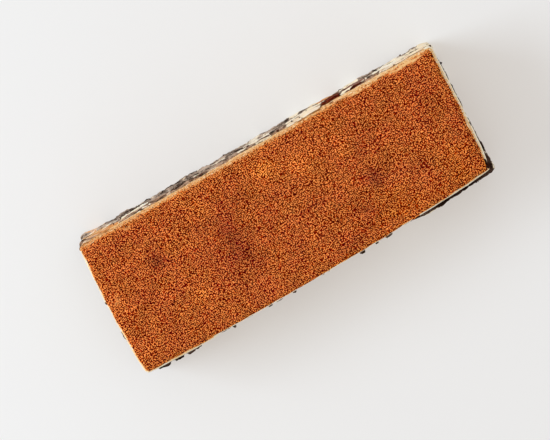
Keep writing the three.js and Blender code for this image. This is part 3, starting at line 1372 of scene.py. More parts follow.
@dataclass
class CreamLayer(CakeLayer):
    """A cream with drag marks and burst bubbles, crumbed where the knife drew sponge over it.

    Attributes:
        crumbs: places covered with crumbs of sponge.
        chunks: crumbs torn to the warm brown inside.
        stains: places painted coffee brown.
        dusts: places on its wall dusted with cocoa.
        edge_dust: how much cocoa fell over its upper edge.
    """

    crumbs: tuple[Patch, ...] = ()
    chunks: tuple[Patch, ...] = ()
    stains: tuple[Patch, ...] = ()
    dusts: tuple[Patch, ...] = ()
    edge_dust: float = 0.0

    # Unevenness of its wall, and of what is laid on it
    SWELL = Ripple(5.0, 0, height=0.14)
    DRAG = Ripple(0.9, 1, (0.18, 0.18, 1.0), height=0.07)
    RAG = Ripple(1.9, 3, KNIFE_DRAWN)
    CRUMB = Ripple(1.0, 4, height=0.3)
    STRAY = Ripple(3.1, 5, (0.6, 0.6, 1.0))
    GAP = Ripple(1.9, 12, (0.25, 0.25, 0.8))

    # Bubbles: the foam that they are cells of, their depth and size, and the share of cells without one
    BUBBLE_CELL = 2.3
    BUBBLE_APART = 2
    BUBBLE_DEPTH = 0.35
    BUBBLE_SIZE = 0.45
    BUBBLE_LACK = 0.5
    BUBBLE_RANGE = (0.01, 0.5)

    # Crumbs: how much they fray edges, where gaps in them and strays come up, how far they stand out, and how
    # much greyish film, partly painted sheen, lies on those that face the back
    RAG_FRAY = 0.5
    GAP_FRAY = 0.25
    GAP_FROM = (0.1, 0.3)
    GAP_SHARE = 0.9
    STRAY_FRAY = 0.3
    STRAY_FROM = (0.62, 0.74)
    CRUMB_LIFT = 0.15
    CRUMB_FILM_AND_SHEEN = 0.85

    # Cocoa that fell over the edge, most of it at the back, and dust that fades down the wall
    SPILL_DEPTH = 2.6
    SPILL_FRAY = 1.1
    SPILL_LEAST = 0.35
    FADE = 0.5
    FADE_FROM = (2.0, 8.5)

    # Coffee that the sponges left along the seams
    SEAM_STAIN = 0.75
    SEAM_FRAY = 0.6
    SEAM_FROM = (0.1, 0.9)

    def relief(self, wall: Wall) -> tuple[np.ndarray, Marks]:
        """Drag the cream along the wall, burst bubbles in it and lay crumbs on it.

        Args:
            wall: the plain wall.

        Returns:
            Distances in mm, and the marks dust, stain, crumb, chunk and film, which is partly painted sheen
            on crumbs that face the back.
        """
        points = wall.points
        back = np.clip(wall.facing(Side.BACK), 0.0, 1.0)
        patchy = self.RAG.over(points, self.seed)
        fine = self.CRUMB.over(points, self.seed)
        rag = patchy + self.RAG_FRAY * fine
        gap = ease(*self.GAP_FROM, self.GAP.over(points, self.seed) + self.GAP_FRAY * fine)
        stray = self.STRAY.over(points, self.seed) + self.STRAY_FRAY * fine
        crumb = laid(self.crumbs, wall, rag) * (1.0 - self.GAP_SHARE * gap)
        crumb = np.maximum(crumb, ease(*self.STRAY_FROM, stray))
        spilt = self.edge_dust * (1.0 - ease(0.0, self.SPILL_DEPTH, wall.below + self.SPILL_FRAY * patchy))
        spilt = spilt * rising(self.SPILL_LEAST, back)
        dust = laid(self.dusts, wall, rag) * (1.0 - self.FADE * ease(*self.FADE_FROM, wall.below))
        near = wall.above if self.edge_dust else np.minimum(wall.above, wall.below)
        seam = self.SEAM_STAIN * (1.0 - ease(*self.SEAM_FROM, near + self.SEAM_FRAY * patchy))
        swell = self.SWELL.height * self.SWELL.over(points, self.seed)
        drag = self.DRAG.height * self.DRAG.over(points, self.seed)
        plain = swell + drag - self.BUBBLE_DEPTH * self.bubbles(points)
        marks = {
            "dust": np.maximum(dust, spilt),
            "stain": np.maximum(laid(self.stains, wall, rag), seam),
            "crumb": crumb,
            "chunk": laid(self.chunks, wall, rag),
            # Greyish film on crumbs that face the back, partly painted sheen of that lit side
            "film": np.broadcast_to(self.CRUMB_FILM_AND_SHEEN * back, crumb.shape),
        }
        return plain + crumb * (self.CRUMB_LIFT + self.CRUMB.height * fine), marks

    def bubbles(self, points: np.ndarray) -> np.ndarray:
        """Work out how deep in a burst bubble each point lies, from 0 outside to 1 at the middle."""
        away, own = foam(points, self.BUBBLE_CELL, self.seed + self.BUBBLE_APART)
        radius = self.BUBBLE_CELL * self.BUBBLE_SIZE * np.clip(own - self.BUBBLE_LACK, *self.BUBBLE_RANGE)
        return ease(0.0, 1.0, 1.0 - away / radius)


@dataclass
class Scatter:
    """Small lumps joined into one mesh, each an uneven ball of few faces.

    Attributes:
        name: the piece's name.
        slot: the record's material slot.
        fineness: how often a ball's twenty faces are split, and 1 leaves them.
        unevenness: how far a lump's corners stray from a ball, as a share of its radius.
    """

    name: str
    slot: Slot
    fineness: int = 1
    unevenness: float = 0.25

    SQUASH = (0.7, 1.15)

    def build(
        self,
        places: np.ndarray,
        radii: np.ndarray,
        marks: Marks,
        finish: Finish,
        draw: np.random.Generator,
    ) -> bpy.types.Object:
        """Make the piece.

        Args:
            places: middles of the lumps in mm, one row each.
            radii: radius of each lump in mm.
            marks: values of each lump that the finish reads.
            finish: the piece's material.
            draw: the random numbers.

        Returns:
            The piece's object.
        """
        bm = bmesh.new()
        bmesh.ops.create_icosphere(bm, subdivisions=self.fineness, radius=1.0)
        ball = np.array([v.co for v in bm.verts])
        faces = np.array([[v.index for v in f.verts] for f in bm.faces])
        bm.free()
        count = len(radii)
        corners = np.tile(ball, (count, 1, 1))
        corners *= 1.0 + self.unevenness * draw.uniform(-1.0, 1.0, (count, len(ball), 1))
        corners *= draw.uniform(*self.SQUASH, (count, 1, 3))
        spin = np.linalg.qr(draw.normal(size=(count, 3, 3)))[0]
        spin *= np.linalg.det(spin)[:, None, None]
        corners = np.einsum("nij,nkj->nki", spin, corners)
        corners = corners * radii[:, None, None] + places[:, None, :]
        joined = faces[None] + len(ball) * np.arange(count)[:, None, None]
        mesh = bpy.data.meshes.new(self.name)
        mesh.from_pydata((corners.reshape(-1, 3) * MM).tolist(), [], joined.reshape(-1, 3).tolist())
        for name, values in marks.items():
            attribute = mesh.attributes.new(name, "FLOAT", "POINT")
            attribute.data.foreach_set("value", np.repeat(values, len(ball)).astype(np.float32))
        return dressed_piece(mesh, self.slot, finish)


@dataclass(frozen=True)
class TonePatch:
    """A place where the cocoa has drawn moisture and darkened, or lies dry and pale.

    Attributes:
        x: its middle along the slice.
        y: its middle across the slice.
        radius: its size.
        change: how much it changes the cocoa at its middle.
        stretch: how many times longer it is along the slice.
    """

    x: float
    y: float
    radius: float
    change: float
    stretch: float = 1.0

    def share(self, places: np.ndarray) -> np.ndarray:
        """Work out how much of it there is at each place in x and y, from 0 to 1."""
        away = np.hypot((places[..., 0] - self.x) / self.stretch, places[..., 1] - self.y)
        return np.exp(-((away / self.radius) ** 2))


@dataclass
class CocoaDusting:
    """Cocoa over the whole top: a fine bed raised into clumps, with loose grains lying on it.

    Attributes:
        node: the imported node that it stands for.
        spacing: distance between the bed's vertices.
        bare: strip of cream left bare along each side.
        clumps: how many clumps the bed has.
        clump_radius: smallest and largest radius of a clump.
        grains: how many loose grains lie on the bed.
        grain_radius: smallest and largest radius of a grain.
        patches: damp and dry places, by how much brighter they are.
        packed: places where the powder lies smooth, by how much grain they lose.
        thin: places where cream shines through.
        bared: places where the bare strip is wider, by how much.
        seed: number that sets its unevenness apart.
    """

    node: str = "cocoa_dusting"
    spacing: float = 0.25
    bare: dict[Side, float] = field(
        default_factory=lambda: {Side.FRONT: 0.12, Side.RIGHT: 0.6, Side.BACK: 0.12, Side.LEFT: 0.4}
    )
    clumps: int = 24000
    clump_radius: Range = (0.2, 0.4)
    grains: int = 9500
    grain_radius: Range = (0.1, 0.2)
    patches: tuple[TonePatch, ...] = ()
    packed: tuple[TonePatch, ...] = ()
    thin: tuple[TonePatch, ...] = ()
    bared: tuple[TonePatch, ...] = ()
    seed: int = 11

    # First guess of half the length and width of the top, and how often it is corrected
    HALVES = (50.0, 18.0)
    ROUNDS = 6

    # The rim of the bed: how wide it is, how it wanders, how much painted light brightens it along the front
    # and right, and how much of clumps, tone and grain it keeps
    EDGE_BAND = 0.9
    EDGE_RAG = Ripple(3.0, 0, height=0.8)
    BARE_RAG = Ripple(3.5, 0, height=0.8)
    RIM_SOFTEN = 0.4
    PAINTED_RIM_LIGHT = 0.2
    RIM_CLUMP = 0.35
    RIM_TONE = 0.45
    RIM_GRAIN = 0.6

    # Heights: where rays start above the top, the bed over the cream's edge, its clumps and its skirt
    PROBE = 5.0
    LIP = 0.35
    SINK = 0.1
    CLUMP_HEIGHT = 0.4
    CLUMP_LIFT = 0.25
    SKIRT = 1.0

    # Tones: what the rim fades to, between the clumps (a little darker, as painted shade), and of clumps and
    # what grains add, by mean and spread
    PLAIN_TONE = 0.5
    GAP_SHADE_TONE = 0.46
    CLUMP_TONE = (0.52, 0.04)
    CLUMP_TONES = (0.1, 0.95)
    GRAIN_TONE = (0.03, 0.12)
    GRAIN_TONES = (0.05, 1.0)

    # Cream that shines through, along the back and in thin places
    SHINE_RAG = Ripple(0.9, 2, (0.3, 1.0, 1.0), height=0.5)
    SHINE_BACK = 0.5
    SHINE_BAND = 1.0
    THIN_FROM = (0.3, 0.9)

    # How much small clumps and grains prevail, and how much denser grains lie away from the edge
    CLUMP_SKEW = 2.2
    GRAIN_SKEW = 1.7
    GRAIN_EDGE = 0.3
    GRAIN_CHANCE = 0.3
    GRAIN_GAIN = 0.25
    GRAIN_LIFT = 0.25

    def outline(self, cream: CreamLayer) -> dict[Side, np.ndarray]:
        """Read where the cocoa ends along each side from the cream that carries it.

        Args:
            cream: the top cream, already built.

        Returns:
            For each side, points of that side in order along it, in x and y.
        """
        shoulder = np.argmin(np.abs(cream.wall.below.mean(axis=1) - cream.round_high))
        ring = cream.wall.points[shoulder, :, :2]
        flat = np.pad(ring, ((0, 0), (0, 1)))
        wander = 1.0 + self.BARE_RAG.height * self.BARE_RAG.over(flat, self.seed)
        chains = {}
        for side in Side:
            across = np.array(side.value)
            along = np.array([-across[1], across[0]])
            corners = np.array([cream.wall.ways @ (across - along), cream.wall.ways @ (across + along)])
            first, last = int(np.argmax(corners[0])), int(np.argmax(corners[1]))
            count = (last - first) % len(ring) + 1
            picked = (first + np.arange(count)) % len(ring)
            strip = (self.bare[side] + self.change(self.bared, ring[picked])) * wander[picked]
            chain = ring[picked] - across * strip[:, None]
            chains[side] = chain if along.sum() > 0 else chain[::-1]
        return chains

    def spread(
        self, cream: CreamLayer, share_x: np.ndarray, share_y: np.ndarray
    ) -> tuple[np.ndarray, dict[Side, np.ndarray]]:
        """Spread an even grid over the top.

        Args:
            cream: the top cream, already built.
            share_x: share of the way from the left end to the right one, for each vertex.
            share_y: share of the way from the front to the back, for each vertex.

        Returns:
            Places in x and y, and each place's distance from every edge of the cocoa.
        """
        chains = self.outline(cream)

        def reading(side: Side, along: np.ndarray, axis: int) -> np.ndarray:
            """Read where the cocoa ends on a side, at places along it."""
            chain = chains[side]
            return np.interp(along, chain[:, axis], chain[:, 1 - axis])

        half_length, half_width = self.HALVES
        x = np.interp(share_x, [0.0, 1.0], [-half_length, half_length])
        y = np.interp(share_y, [0.0, 1.0], [-half_width, half_width])
        for _ in range(self.ROUNDS):
            left, right = reading(Side.LEFT, y, 1), reading(Side.RIGHT, y, 1)
            x = left + (right - left) * share_x
            front, back = reading(Side.FRONT, x, 0), reading(Side.BACK, x, 0)
            y = front + (back - front) * share_y
        edges = {Side.LEFT: x - left, Side.RIGHT: right - x, Side.FRONT: y - front, Side.BACK: back - y}
        return np.stack([x, y], axis=-1), edges

    def build(self, solids: dict[str, PackedLayer], cream: CreamLayer, finish: Finish) -> None:
        """Make the bed and its loose grains.

        Args:
            solids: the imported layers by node.
            cream: the top cream, already built.
            finish: the cocoa's material.
        """
        draw = np.random.default_rng(self.seed)
        top = solids[self.node].high
        length, width = np.ptp(cream.wall.points[..., :2].reshape(-1, 2), axis=0)
        columns, rows = round(length / self.spacing), round(width / self.spacing)
        shares = np.linspace(0, 1, rows + 1), np.linspace(0, 1, columns + 1)
        share_y, share_x = np.meshgrid(*shares, indexing="ij")
        places, edges = self.spread(cream, share_x, share_y)
        edge = np.min(list(edges.values()), axis=0)
        outer = np.minimum(edges[Side.FRONT], edges[Side.RIGHT])
        level = solids[self.node].face(places.reshape(-1, 2), top + self.PROBE, up=False).reshape(edge.shape)
        drawn_in = CakeLayer.rounding(edge, np.full(edge.shape, cream.round_high))
        lip = solids[cream.node].high - drawn_in + self.LIP
        level = np.where(np.isnan(level), lip, level)
        rim = self.RIM_SOFTEN / self.spacing
        level = blur(blur(level, rim, 0, False), rim, 1, False)
        rag = self.EDGE_RAG.height * self.EDGE_RAG.over(np.dstack([places, edge]), self.seed)
        calm = ease(0.0, self.EDGE_BAND, edge + rag)
        # Painted light: the cocoa is brightened within the edge band along the front and right, where its
        # rounded edge faces away from the side light
        lit = self.PAINTED_RIM_LIGHT * (1.0 - ease(0.0, self.EDGE_BAND, outer))
        clump, tone = self.clumped(places, draw)
        height = level - self.SINK + self.CLUMP_HEIGHT * rising(self.RIM_CLUMP, calm) * clump
        marks = {
            "tone": self.PLAIN_TONE + rising(self.RIM_TONE, calm) * (tone - self.PLAIN_TONE),
            "grain": rising(self.RIM_GRAIN, calm) * (1.0 - self.change(self.packed, places)),
            # shade: damp and dry patches, plus the painted light along the front and right edges
            "shade": self.change(self.patches, places) + lit,
            "thin": self.shine(places, edges),
        }
        self.bed(places, height, marks, finish)
        self.loose(places, height, edge, marks, finish, draw)

    @staticmethod
    def change(patches: tuple[TonePatch, ...], places: np.ndarray) -> np.ndarray:
        """Work out how much patches change the cocoa at each place."""
        return sum((patch.change * patch.share(places) for patch in patches), np.zeros(places.shape[:-1]))

    def shine(self, places: np.ndarray, edges: dict[Side, np.ndarray]) -> np.ndarray:
        """Work out how much cream shines through at each place.

        Args:
            places: the bed's vertices in x and y, rows by columns.
            edges: their distances from every edge of the cocoa.

        Returns:
            Shares from 0 to 1, rows by columns.
        """
        flat = np.concatenate([places, np.zeros((*places.shape[:-1], 1))], axis=-1)
        rag = self.SHINE_RAG.height * self.SHINE_RAG.over(flat, self.seed)
        shown = self.SHINE_BACK * (1.0 - ease(0.0, self.SHINE_BAND, edges[Side.BACK] + rag))
        for patch in self.thin:
            shown = np.maximum(shown, patch.change * ease(*self.THIN_FROM, patch.share(places) + rag))
        return shown

    def clumped(self, places: np.ndarray, draw: np.random.Generator) -> tuple[np.ndarray, np.ndarray]:
        """Press round clumps into the bed.

        Args:
            places: the bed's vertices in x and y, rows by columns.
            draw: the random numbers.

        Returns:
            Height of the clumps and their tone, rows by columns.
        """
        rows, columns = places.shape[:2]
        height = np.zeros((rows, columns))
        # Painted shade: the bed between clumps keeps a darker tone
        tone = np.full((rows, columns), self.GAP_SHADE_TONE)
        radii = drawn_radii(draw, self.clump_radius, self.clumps, self.CLUMP_SKEW)
        window = math.ceil(max(self.clump_radius) / self.spacing) + 1
        middle_rows = draw.integers(0, rows, self.clumps)
        middle_columns = draw.integers(0, columns, self.clumps)
        jitter = draw.uniform(-0.5, 0.5, (self.clumps, 2)) * self.spacing
        lift = draw.uniform(0.0, self.CLUMP_LIFT, self.clumps)
        shade = np.clip(draw.normal(*self.CLUMP_TONE, self.clumps), *self.CLUMP_TONES)
        for i in range(self.clumps):
            row, column = middle_rows[i], middle_columns[i]
            rows_near = slice(max(0, row - window), row + window + 1)
            columns_near = slice(max(0, column - window), column + window + 1)
            near = places[rows_near, columns_near]
            offset = near - (places[row, column] + jitter[i])
            dome = np.sqrt(np.clip(radii[i] ** 2 - (offset**2).sum(axis=-1), 0.0, None))
            raised = np.where(dome > 0.0, dome + lift[i] * radii[i], 0.0)
            higher = raised > height[rows_near, columns_near]
            height[rows_near, columns_near][higher] = raised[higher]
            tone[rows_near, columns_near][higher] = shade[i]
        return height, tone

    def bed(self, places: np.ndarray, height: np.ndarray, marks: Marks, finish: Finish) -> bpy.types.Object:
        """Make the bed's piece: a grid pressed into shape, with a skirt and an underside that close it.

        Args:
            places: its vertices in x and y, rows by columns.
            height: their heights.
            marks: the values that the finish reads.
            finish: the cocoa's material.

        Returns:
            The piece's object.
        """
        rows, columns = height.shape
        bm = bmesh.new()
        bmesh.ops.create_grid(bm, x_segments=columns - 1, y_segments=rows - 1, size=1.0)
        layers = {name: bm.verts.layers.float.new(name) for name in marks}
        for vertex in bm.verts:
            row = round(0.5 * (vertex.co.y + 1.0) * (rows - 1))
            column = round(0.5 * (vertex.co.x + 1.0) * (columns - 1))
            vertex.co = Vector((*places[row, column], height[row, column])) * MM
            for name, layer in layers.items():
                vertex[layer] = marks[name][row, column]
        border = [e for e in bm.edges if e.is_boundary]
        drawn = bmesh.ops.extrude_edge_only(bm, edges=border)["geom"]
        hanging = [g for g in drawn if isinstance(g, bmesh.types.BMVert)]
        bmesh.ops.translate(bm, verts=hanging, vec=-UP * self.SKIRT * MM)
        bmesh.ops.edgeloop_fill(bm, edges=[g for g in drawn if isinstance(g, bmesh.types.BMEdge)])
        return finished_piece(bm, "cocoa_bed", Slot.COCOA, finish, self.node)

    def loose(
        self,
        places: np.ndarray,
        height: np.ndarray,
        edge: np.ndarray,
        marks: Marks,
        finish: Finish,
        draw: np.random.Generator,
    ) -> bpy.types.Object:
        """Strew loose grains over the bed.

        Args:
            places: the bed's vertices in x and y, rows by columns.
            height: their heights.
            edge: their distances from the edge of the cocoa.
            marks: the bed's values that the finish reads.
            finish: the cocoa's material.
            draw: the random numbers.

        Returns:
            The piece's object.
        """
        inset = edge.ravel()
        lucky = draw.uniform(size=inset.size) < self.GRAIN_CHANCE + self.GRAIN_GAIN * inset
        inner = np.flatnonzero((inset > self.GRAIN_EDGE) & lucky)
        chosen = draw.choice(inner, self.grains, replace=False)
        radii = drawn_radii(draw, self.grain_radius, self.grains, self.GRAIN_SKEW)
        middles = np.concatenate([places.reshape(-1, 2)[chosen], height.ravel()[chosen, None]], axis=1)
        middles[:, 2] += self.GRAIN_LIFT * radii
        own = {name: values.ravel()[chosen] for name, values in marks.items()}
        own["tone"] = np.clip(own["tone"] + draw.normal(*self.GRAIN_TONE, self.grains), *self.GRAIN_TONES)
        return Scatter("cocoa_grains", Slot.COCOA).build(middles, radii, own, finish, draw)


@dataclass(frozen=True)
class LooseCrumbs:
    """Crumbs of sponge stuck to the cut walls, most of them along the seams.

    Attributes:
        count: how many there are.
        radius: smallest and largest radius of a crumb.
        ceiling: height that no crumb sticks above.
        seed: number that sets their places apart.
    """

    count: int = 360
    radius: Range = (0.12, 0.45)
    ceiling: float = 32.0
    seed: int = 31

    # Where crumbs are likely: a little everywhere, more near the seams, none at the clean left end
    EVERYWHERE = 0.12
    SEAM_BAND = 0.8
    CLEAN_END = -0.6

    # How much small ones prevail, how many radii they stand out and off the floor, and their marks' range
    SKEW = 2.4
    STAND_OUT = 0.2
    OFF_FLOOR = 1.5
    MARK_RANGE = (0.0, 0.5)

    def build(self, layers: tuple[CakeLayer, ...], finish: Finish) -> bpy.types.Object:
        """Stick the crumbs to the walls.

        Args:
            layers: the layers, already built.
            finish: the sponge's material.

        Returns:
            The piece's object.
        """
        draw = np.random.default_rng(self.seed)
        points = np.concatenate([layer.wall.points.reshape(-1, 3) for layer in layers])
        ways = np.concatenate([np.tile(layer.wall.ways, (len(layer.wall.below), 1)) for layer in layers])
        near = np.concatenate([np.minimum(layer.wall.above, layer.wall.below).ravel() for layer in layers])
        weight = self.EVERYWHERE + np.exp(-((near / self.SEAM_BAND) ** 2))
        weight *= points[:, 2] < self.ceiling
        weight *= ways[:, 0] > self.CLEAN_END
        chosen = draw.choice(len(points), self.count, replace=False, p=weight / weight.sum())
        radii = drawn_radii(draw, self.radius, self.count, self.SKEW)
        middles = points[chosen].copy()
        middles[:, :2] += ways[chosen] * self.STAND_OUT * radii[:, None]
        middles[:, 2] = np.maximum(middles[:, 2], self.OFF_FLOOR * radii)
        # Each crumb gets a random share of the painted pore shade and of the torn colour
        marks = {name: draw.uniform(*self.MARK_RANGE, self.count) for name in ("pore", "chunk")}
        lumps = Scatter("sponge_crumbs", Slot.SPONGE, fineness=2, unevenness=0.4)
        return lumps.build(middles, radii, marks, finish, draw)


@dataclass(frozen=True)
class Studio:
    """A plain pale floor, soft light from one side and the camera at the photograph's angle.

    Attributes:
        aim: point of the slice's top at the middle of the picture.
        lean: how far the camera stands off the upright, per unit of height, in x and y.
        roll: angle in degrees from the slice's length to the picture's level.
        distance: distance of the camera.
        picture_width: width of the picture in pixels.
        pixel: size of a pixel on the slice's top.
        floor_half: half the floor's width.
        floor_colour: colour of the floor, bluish so that under its warm glow it reads neutral where lit.
        floor_glow: light that comes through the floor, a painted glow that lifts the shadows on it and, being
            warm, tints them as painted warm bounce.
        sky: brightness of the even light from all round.
        key_way: where the side light comes from.
        key_power: power of the side light.
        key_size: size of the side light.
        key_distance: distance of the side light.
    """

    aim: tuple[float, float, float] = (-4.49, -0.99, 42.0)
    lean: tuple[float, float] = (0.030, 0.033)
    roll: float = 30.5
    distance: float = 1000.0
    picture_width: int = 550
    pixel: float = 0.284
    floor_half: float = 3000.0
    floor_colour: Colour = (0.41, 0.475, 0.535)
    floor_glow: Colour = (0.445, 0.38, 0.32)
    sky: float = 0.62
    key_way: tuple[float, float, float] = (-0.88, 0.42, 1.05)
    key_power: float = 4.3
    key_size: float = 420.0
    key_distance: float = 900.0

    SENSOR = 36.0
    CLIP_END = 100.0
    FLOOR_PATTERN = Pattern(60.0)
    FLOOR_CHANGE = 0.004

    def build(self) -> None:
        """Set up the camera, the lights and the floor."""
        self.camera()
        self.lights()
        self.floor()

    def camera(self) -> None:
        """Place the camera."""
        back = Vector((*self.lean, 1.0)).normalized()
        turn = math.radians(self.roll)
        level = Vector((math.cos(turn), -math.sin(turn), 0.0))
        right = (level - back * level.dot(back)).normalized()
        above = back.cross(right)
        data = bpy.data.cameras.new("photo_camera")
        data.sensor_width = self.SENSOR
        data.lens = self.distance / self.pixel * data.sensor_width / self.picture_width
        data.clip_end = self.CLIP_END
        camera = bpy.data.objects.new("photo_camera", data)
        turned = Matrix((right, above, back)).transposed().to_4x4()
        camera.matrix_world = Matrix.Translation((Vector(self.aim) + back * self.distance) * MM) @ turned
        bpy.context.scene.collection.objects.link(camera)
        bpy.context.scene.camera = camera

    def lights(self) -> None:
        """Place the even light and the side light."""
        scene = bpy.context.scene
        world = bpy.data.worlds.new("even_light")
        world.use_nodes = True
        background = world.node_tree.nodes["Background"]
        background.inputs["Color"].default_value = (1.0, 1.0, 1.0, 1.0)
        background.inputs["Strength"].default_value = self.sky
        scene.world = world
        scene.view_settings.view_transform = "Standard"
        data = bpy.data.lights.new("side_light", "AREA")
        data.size = self.key_size * MM
        data.energy = self.key_power
        light = bpy.data.objects.new("side_light", data)
        way = Vector(self.key_way).normalized()
        light.location = way * self.key_distance * MM
        light.rotation_mode = "QUATERNION"
        light.rotation_quaternion = way.to_track_quat("Z", "Y")
        scene.collection.objects.link(light)

    def floor(self) -> None:
        """Lay the floor."""
        bm = bmesh.new()
        bmesh.ops.create_grid(bm, x_segments=1, y_segments=1, size=self.floor_half * MM)
        mesh = bpy.data.meshes.new("floor")
        bm.to_mesh(mesh)
        bm.free()
        finish = Finish("pale_floor")
        tone = finish.graph.noise(self.FLOOR_PATTERN)
        darker = tuple(part - self.FLOOR_CHANGE for part in self.floor_colour)
        lighter = tuple(part + self.FLOOR_CHANGE for part in self.floor_colour)
        # Painted light: the floor glows, warm over its bluish colour, which lifts its shadows and warms them
        finish.set(
            Base_Color=finish.graph.ramp(tone, ((0.2, darker), (0.8, lighter))),
            Roughness=0.6,
            Specular_IOR_Level=0.2,
            Emission_Color=self.floor_glow,
            Emission_Strength=1.0,
        )
        mesh.materials.append(finish.material)
        floor = bpy.data.objects.new("floor", mesh)
        bpy.context.scene.collection.objects.link(floor)


def dragged(
    *spans: tuple[float, float, float, float], side: Side = Side.BACK, amount: float = 1.0
) -> tuple[Patch, ...]:
    """Write patches down by their ends.

    Args:
        spans: for each, where it starts and ends along the side, and its lower and upper edge.
        side: the side that they are on.
        amount: how much of them there is.

    Returns:
        The patches.
    """
    return tuple(Patch(side, 0.5 * (a + b), b - a, low, high, amount) for a, b, low, high in spans)


def base_sponge() -> SpongeLayer:
    """Describe the sponge at the foot."""
    return SpongeLayer(
        "sponge_base",
        Slot.SPONGE,
        row_height=0.29,
        grow_low=0.0,
        grow_high=0.45,
        round_low=0.35,
        round_high=0.35,
        seed=2.0,
        smears=dragged((-0.5, 4.5, -3, 14), amount=0.55)
        + dragged((12, 22.5, -2, 14), (30, 37.5, -2, 9))
        + dragged((42, 66, 3, 14), amount=0.6)
        + dragged((15, 27, -2, 14), side=Side.RIGHT),
        tans=dragged((-55.4, -49.5, -2, 14), amount=0.5)
        + dragged((-23.5, -21.8, -2, 9), amount=0.25)
        + dragged((23.4, 28.8, -4, 16), amount=1.0),
        # A film of cream over the back wall, partly painted sheen
        films_and_sheen=dragged((-66, 23, -4, 16), (37, 66, -4, 16), amount=0.85),
        knobs=dragged((-36, -3, -6, 17), amount=0.2)
        + dragged((8, 13, -6, 17), amount=-0.15)
        + dragged((24, 41, -6, 17), amount=-0.12),
    )


def middle_cream() -> CreamLayer:
    """Describe the cream between the sponges."""
    return CreamLayer(
        "cream_middle",
        Slot.CREAM,
        row_height=0.33,
        grow_low=0.05,
        grow_high=0.05,
        round_low=0.5,
        round_high=0.5,
        seed=21.0,
        crumbs=dragged((-34.5, -1.5, 8, 20), (5, 11.5, 8, 20), (23, 37.5, 8, 20), (37.5, 42, 8, 18))
        + dragged((-47.5, -42.5, 13, 19), (-41, -33, 8, 14.5), (46, 50, 9, 13), (53, 55.5, 14, 19)),
        chunks=dragged((23.2, 29, 6, 22)) + dragged((29.5, 37.5, 6, 22), amount=0.7),
        stains=dragged((-56, -48, 8, 18), amount=1.5),
        dusts=dragged((-66, -48, 9, 20), amount=0.3),
    )


def middle_sponge() -> SpongeLayer:
    """Describe the sponge under the top cream."""
    return SpongeLayer(
        "sponge_middle",
        Slot.SPONGE,
        row_height=0.29,
        grow_low=0.45,
        grow_high=0.45,
        round_low=0.35,
        round_high=0.35,
        seed=41.0,
        smears=dragged((0.5, 5.5, 15, 32), amount=0.55)
        + dragged((12, 23, 15, 32))
        + dragged((42.5, 66, 15, 32), amount=0.6)
        + dragged((-47.5, -44.5, 26, 30), (-38.5, -36.5, 26, 30), (29, 31, 22, 31))
        + dragged((15, 27, 15, 31), side=Side.RIGHT),
        tans=dragged((-55.4, -43.5, 15, 31), amount=0.7)
        + dragged((-29.5, -26.5, 24, 32), (42, 66, 25, 31), amount=0.25)
        + dragged((12, 23, 20, 32), amount=0.18)
        + dragged((-55, -48, 14, 19.5), amount=2.0),
        # A film of cream over the back wall, partly painted sheen
        films_and_sheen=dragged((-66, 23, 14, 32), (37, 66, 14, 32), amount=0.85),
        chunks=dragged((23.2, 29, 12, 33))
        + dragged((29.5, 37.5, 12, 26), amount=0.8)
        + dragged((-17.6, -15.4, 20, 29), amount=0.7),
        knobs=dragged(
            (-31.3, -30.2, 22, 29),
            (-19.4, -18, 22, 29),
            (-11.3, -9.9, 22, 29),
            (11.2, 13, 22, 29),
            (16.5, 17.6, 21, 29),
            (19.6, 22.7, 21, 29),
            side=Side.FRONT,
            amount=0.75,
        )
        + dragged(
            (-56, -52, 18, 29),
            (-50.6, -47.8, 18, 29),
            (-46.6, -42.2, 18, 29),
            side=Side.FRONT,
            amount=0.62,
        ),
    )


def top_cream() -> CreamLayer:
    """Describe the cream under the cocoa."""
    return CreamLayer(
        "cream_top",
        Slot.CREAM,
        row_height=0.33,
        grow_low=0.05,
        grow_high=0.0,
        round_low=0.4,
        round_high=0.6,
        round_back=0.8,
        seed=61.0,
        edge_dust=0.6,
        crumbs=dragged((-34.5, -1.5, 22, 35.5), (5.5, 11.5, 22, 32), amount=0.6)
        + dragged((23.4, 29.4, 22, 37.5), (29.4, 38, 22, 34), amount=0.9)
        + dragged((-26, -16.2, 24, 46), side=Side.RIGHT),
        chunks=dragged((23.4, 29.4, 22, 42), (29.4, 38, 22, 36))
        + dragged((-26, -16.2, 24, 46), side=Side.RIGHT, amount=0.3),
        # Dark brown lines on the back, just below the cocoa's edge
        stains=dragged((12, 23.5, 32.5, 37.5), (43, 58, 31, 36), amount=1.4) + dragged((-57, -46, 32, 37)),
        dusts=dragged((-70, -48, 31, 56), amount=0.5)
        + dragged((-50, -34, 32, 56), amount=0.48)
        + dragged((-36, 30, 32, 56), (29.5, 42, 31, 37.5), amount=0.42)
        + dragged((28, 70, 33, 56), amount=0.3)
        + dragged((14, 26, 37, 46), side=Side.RIGHT, amount=0.2)
        + dragged((-24, 26, 38.5, 46), side=Side.FRONT, amount=0.8),
        knobs=dragged((-60, -36, 22, 50), side=Side.FRONT, amount=0.32),
    )


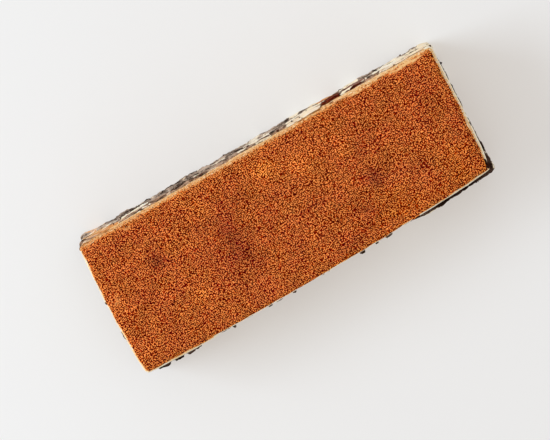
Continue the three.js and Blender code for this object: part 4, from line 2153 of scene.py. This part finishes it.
def cocoa_dusting() -> CocoaDusting:
    """Describe the cocoa on top."""
    return CocoaDusting(
        patches=(
            TonePatch(-17.5, -1.2, 8.0, -0.36, 0.6),
            TonePatch(-39.2, 6.0, 2.2, -0.46),
            TonePatch(26.2, -5.0, 2.6, -0.38),
            TonePatch(20.0, -12.0, 3.5, -0.14),
            TonePatch(13.5, -18.0, 3.0, -0.22),
            TonePatch(28.0, 4.0, 4.0, -0.1),
            TonePatch(0.1, 13.0, 2.8, 0.5),
            TonePatch(12.0, 10.5, 4.0, 0.2, 2.0),
            TonePatch(22.0, 6.5, 3.0, 0.14),
            TonePatch(-33.0, -8.5, 3.0, 0.16),
            TonePatch(-33.0, 6.5, 3.0, 0.12),
            TonePatch(-21.0, 13.0, 3.0, 0.16),
            TonePatch(-55.0, 0.6, 2.5, 0.22),
            TonePatch(40.0, 0.0, 5.0, 0.1),
            TonePatch(28.5, -15.5, 4.5, 0.12, 1.3),
            TonePatch(49.5, -13.5, 5.0, 0.08),
        ),
        packed=(
            TonePatch(27.5, -15.0, 5.0, 0.34, 1.2),
            TonePatch(49.5, -13.0, 5.5, 0.28),
            TonePatch(16.0, -17.0, 4.0, 0.14, 1.6),
            TonePatch(40.0, -18.0, 2.5, 0.24, 5.0),
        ),
        bared=(TonePatch(-46.5, -20.0, 4.0, 0.3, 2.4), TonePatch(45.0, -20.0, 4.0, 0.25, 2.6)),
        thin=(
            TonePatch(-55.5, 2.0, 1.3, 0.45, 2.0),
            TonePatch(-42.0, 18.5, 1.0, 0.6, 1.6),
            TonePatch(35.0, 18.7, 0.75, 0.8, 8.0),
            TonePatch(50.0, 18.3, 0.95, 0.85, 8.0),
        ),
    )


@dataclass
class TiramisuSlice:
    """The whole slice, layer by layer from the foot up."""

    sponge_base: SpongeLayer = field(default_factory=base_sponge)
    cream_middle: CreamLayer = field(default_factory=middle_cream)
    sponge_middle: SpongeLayer = field(default_factory=middle_sponge)
    cream_top: CreamLayer = field(default_factory=top_cream)
    cocoa: CocoaDusting = field(default_factory=cocoa_dusting)
    crumbs: LooseCrumbs = field(default_factory=LooseCrumbs)

    def build(self, frame: dict) -> None:
        """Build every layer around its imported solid.
        """
        low, high = (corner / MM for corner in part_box("sponge_base"))
        guide = CutGuide(half_length=0.5 * (high.x - low.x), half_width=0.5 * (high.y - low.y))
        solids = {name: PackedLayer(solid) for name, solid in frame["nodes"].items()}
        cocoa_effect = CocoaTone().effect()
        cream_effect = CreamTone().effect()
        crumb_effect = CrumbTone().effect()
        sponge = SpongeFinish(cream_effect, crumb_effect)
        cream = CreamFinish(cream_effect, cocoa_effect, crumb_effect)
        layers = (self.sponge_base, self.cream_middle, self.sponge_middle, self.cream_top)
        for layer in layers:
            layer.build(solids[layer.node], guide, sponge if layer.slot is Slot.SPONGE else cream)
        self.cocoa.build(solids, self.cream_top, CocoaFinish(cocoa_effect))
        self.crumbs.build(layers, sponge)


def main() -> None:
    """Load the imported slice, dress it and set the scene."""
    logging.basicConfig(level=logging.INFO, format="%(message)s")
    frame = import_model()
    TiramisuSlice().build(frame)
    Studio().build()


if __name__ == "__main__":
    main()
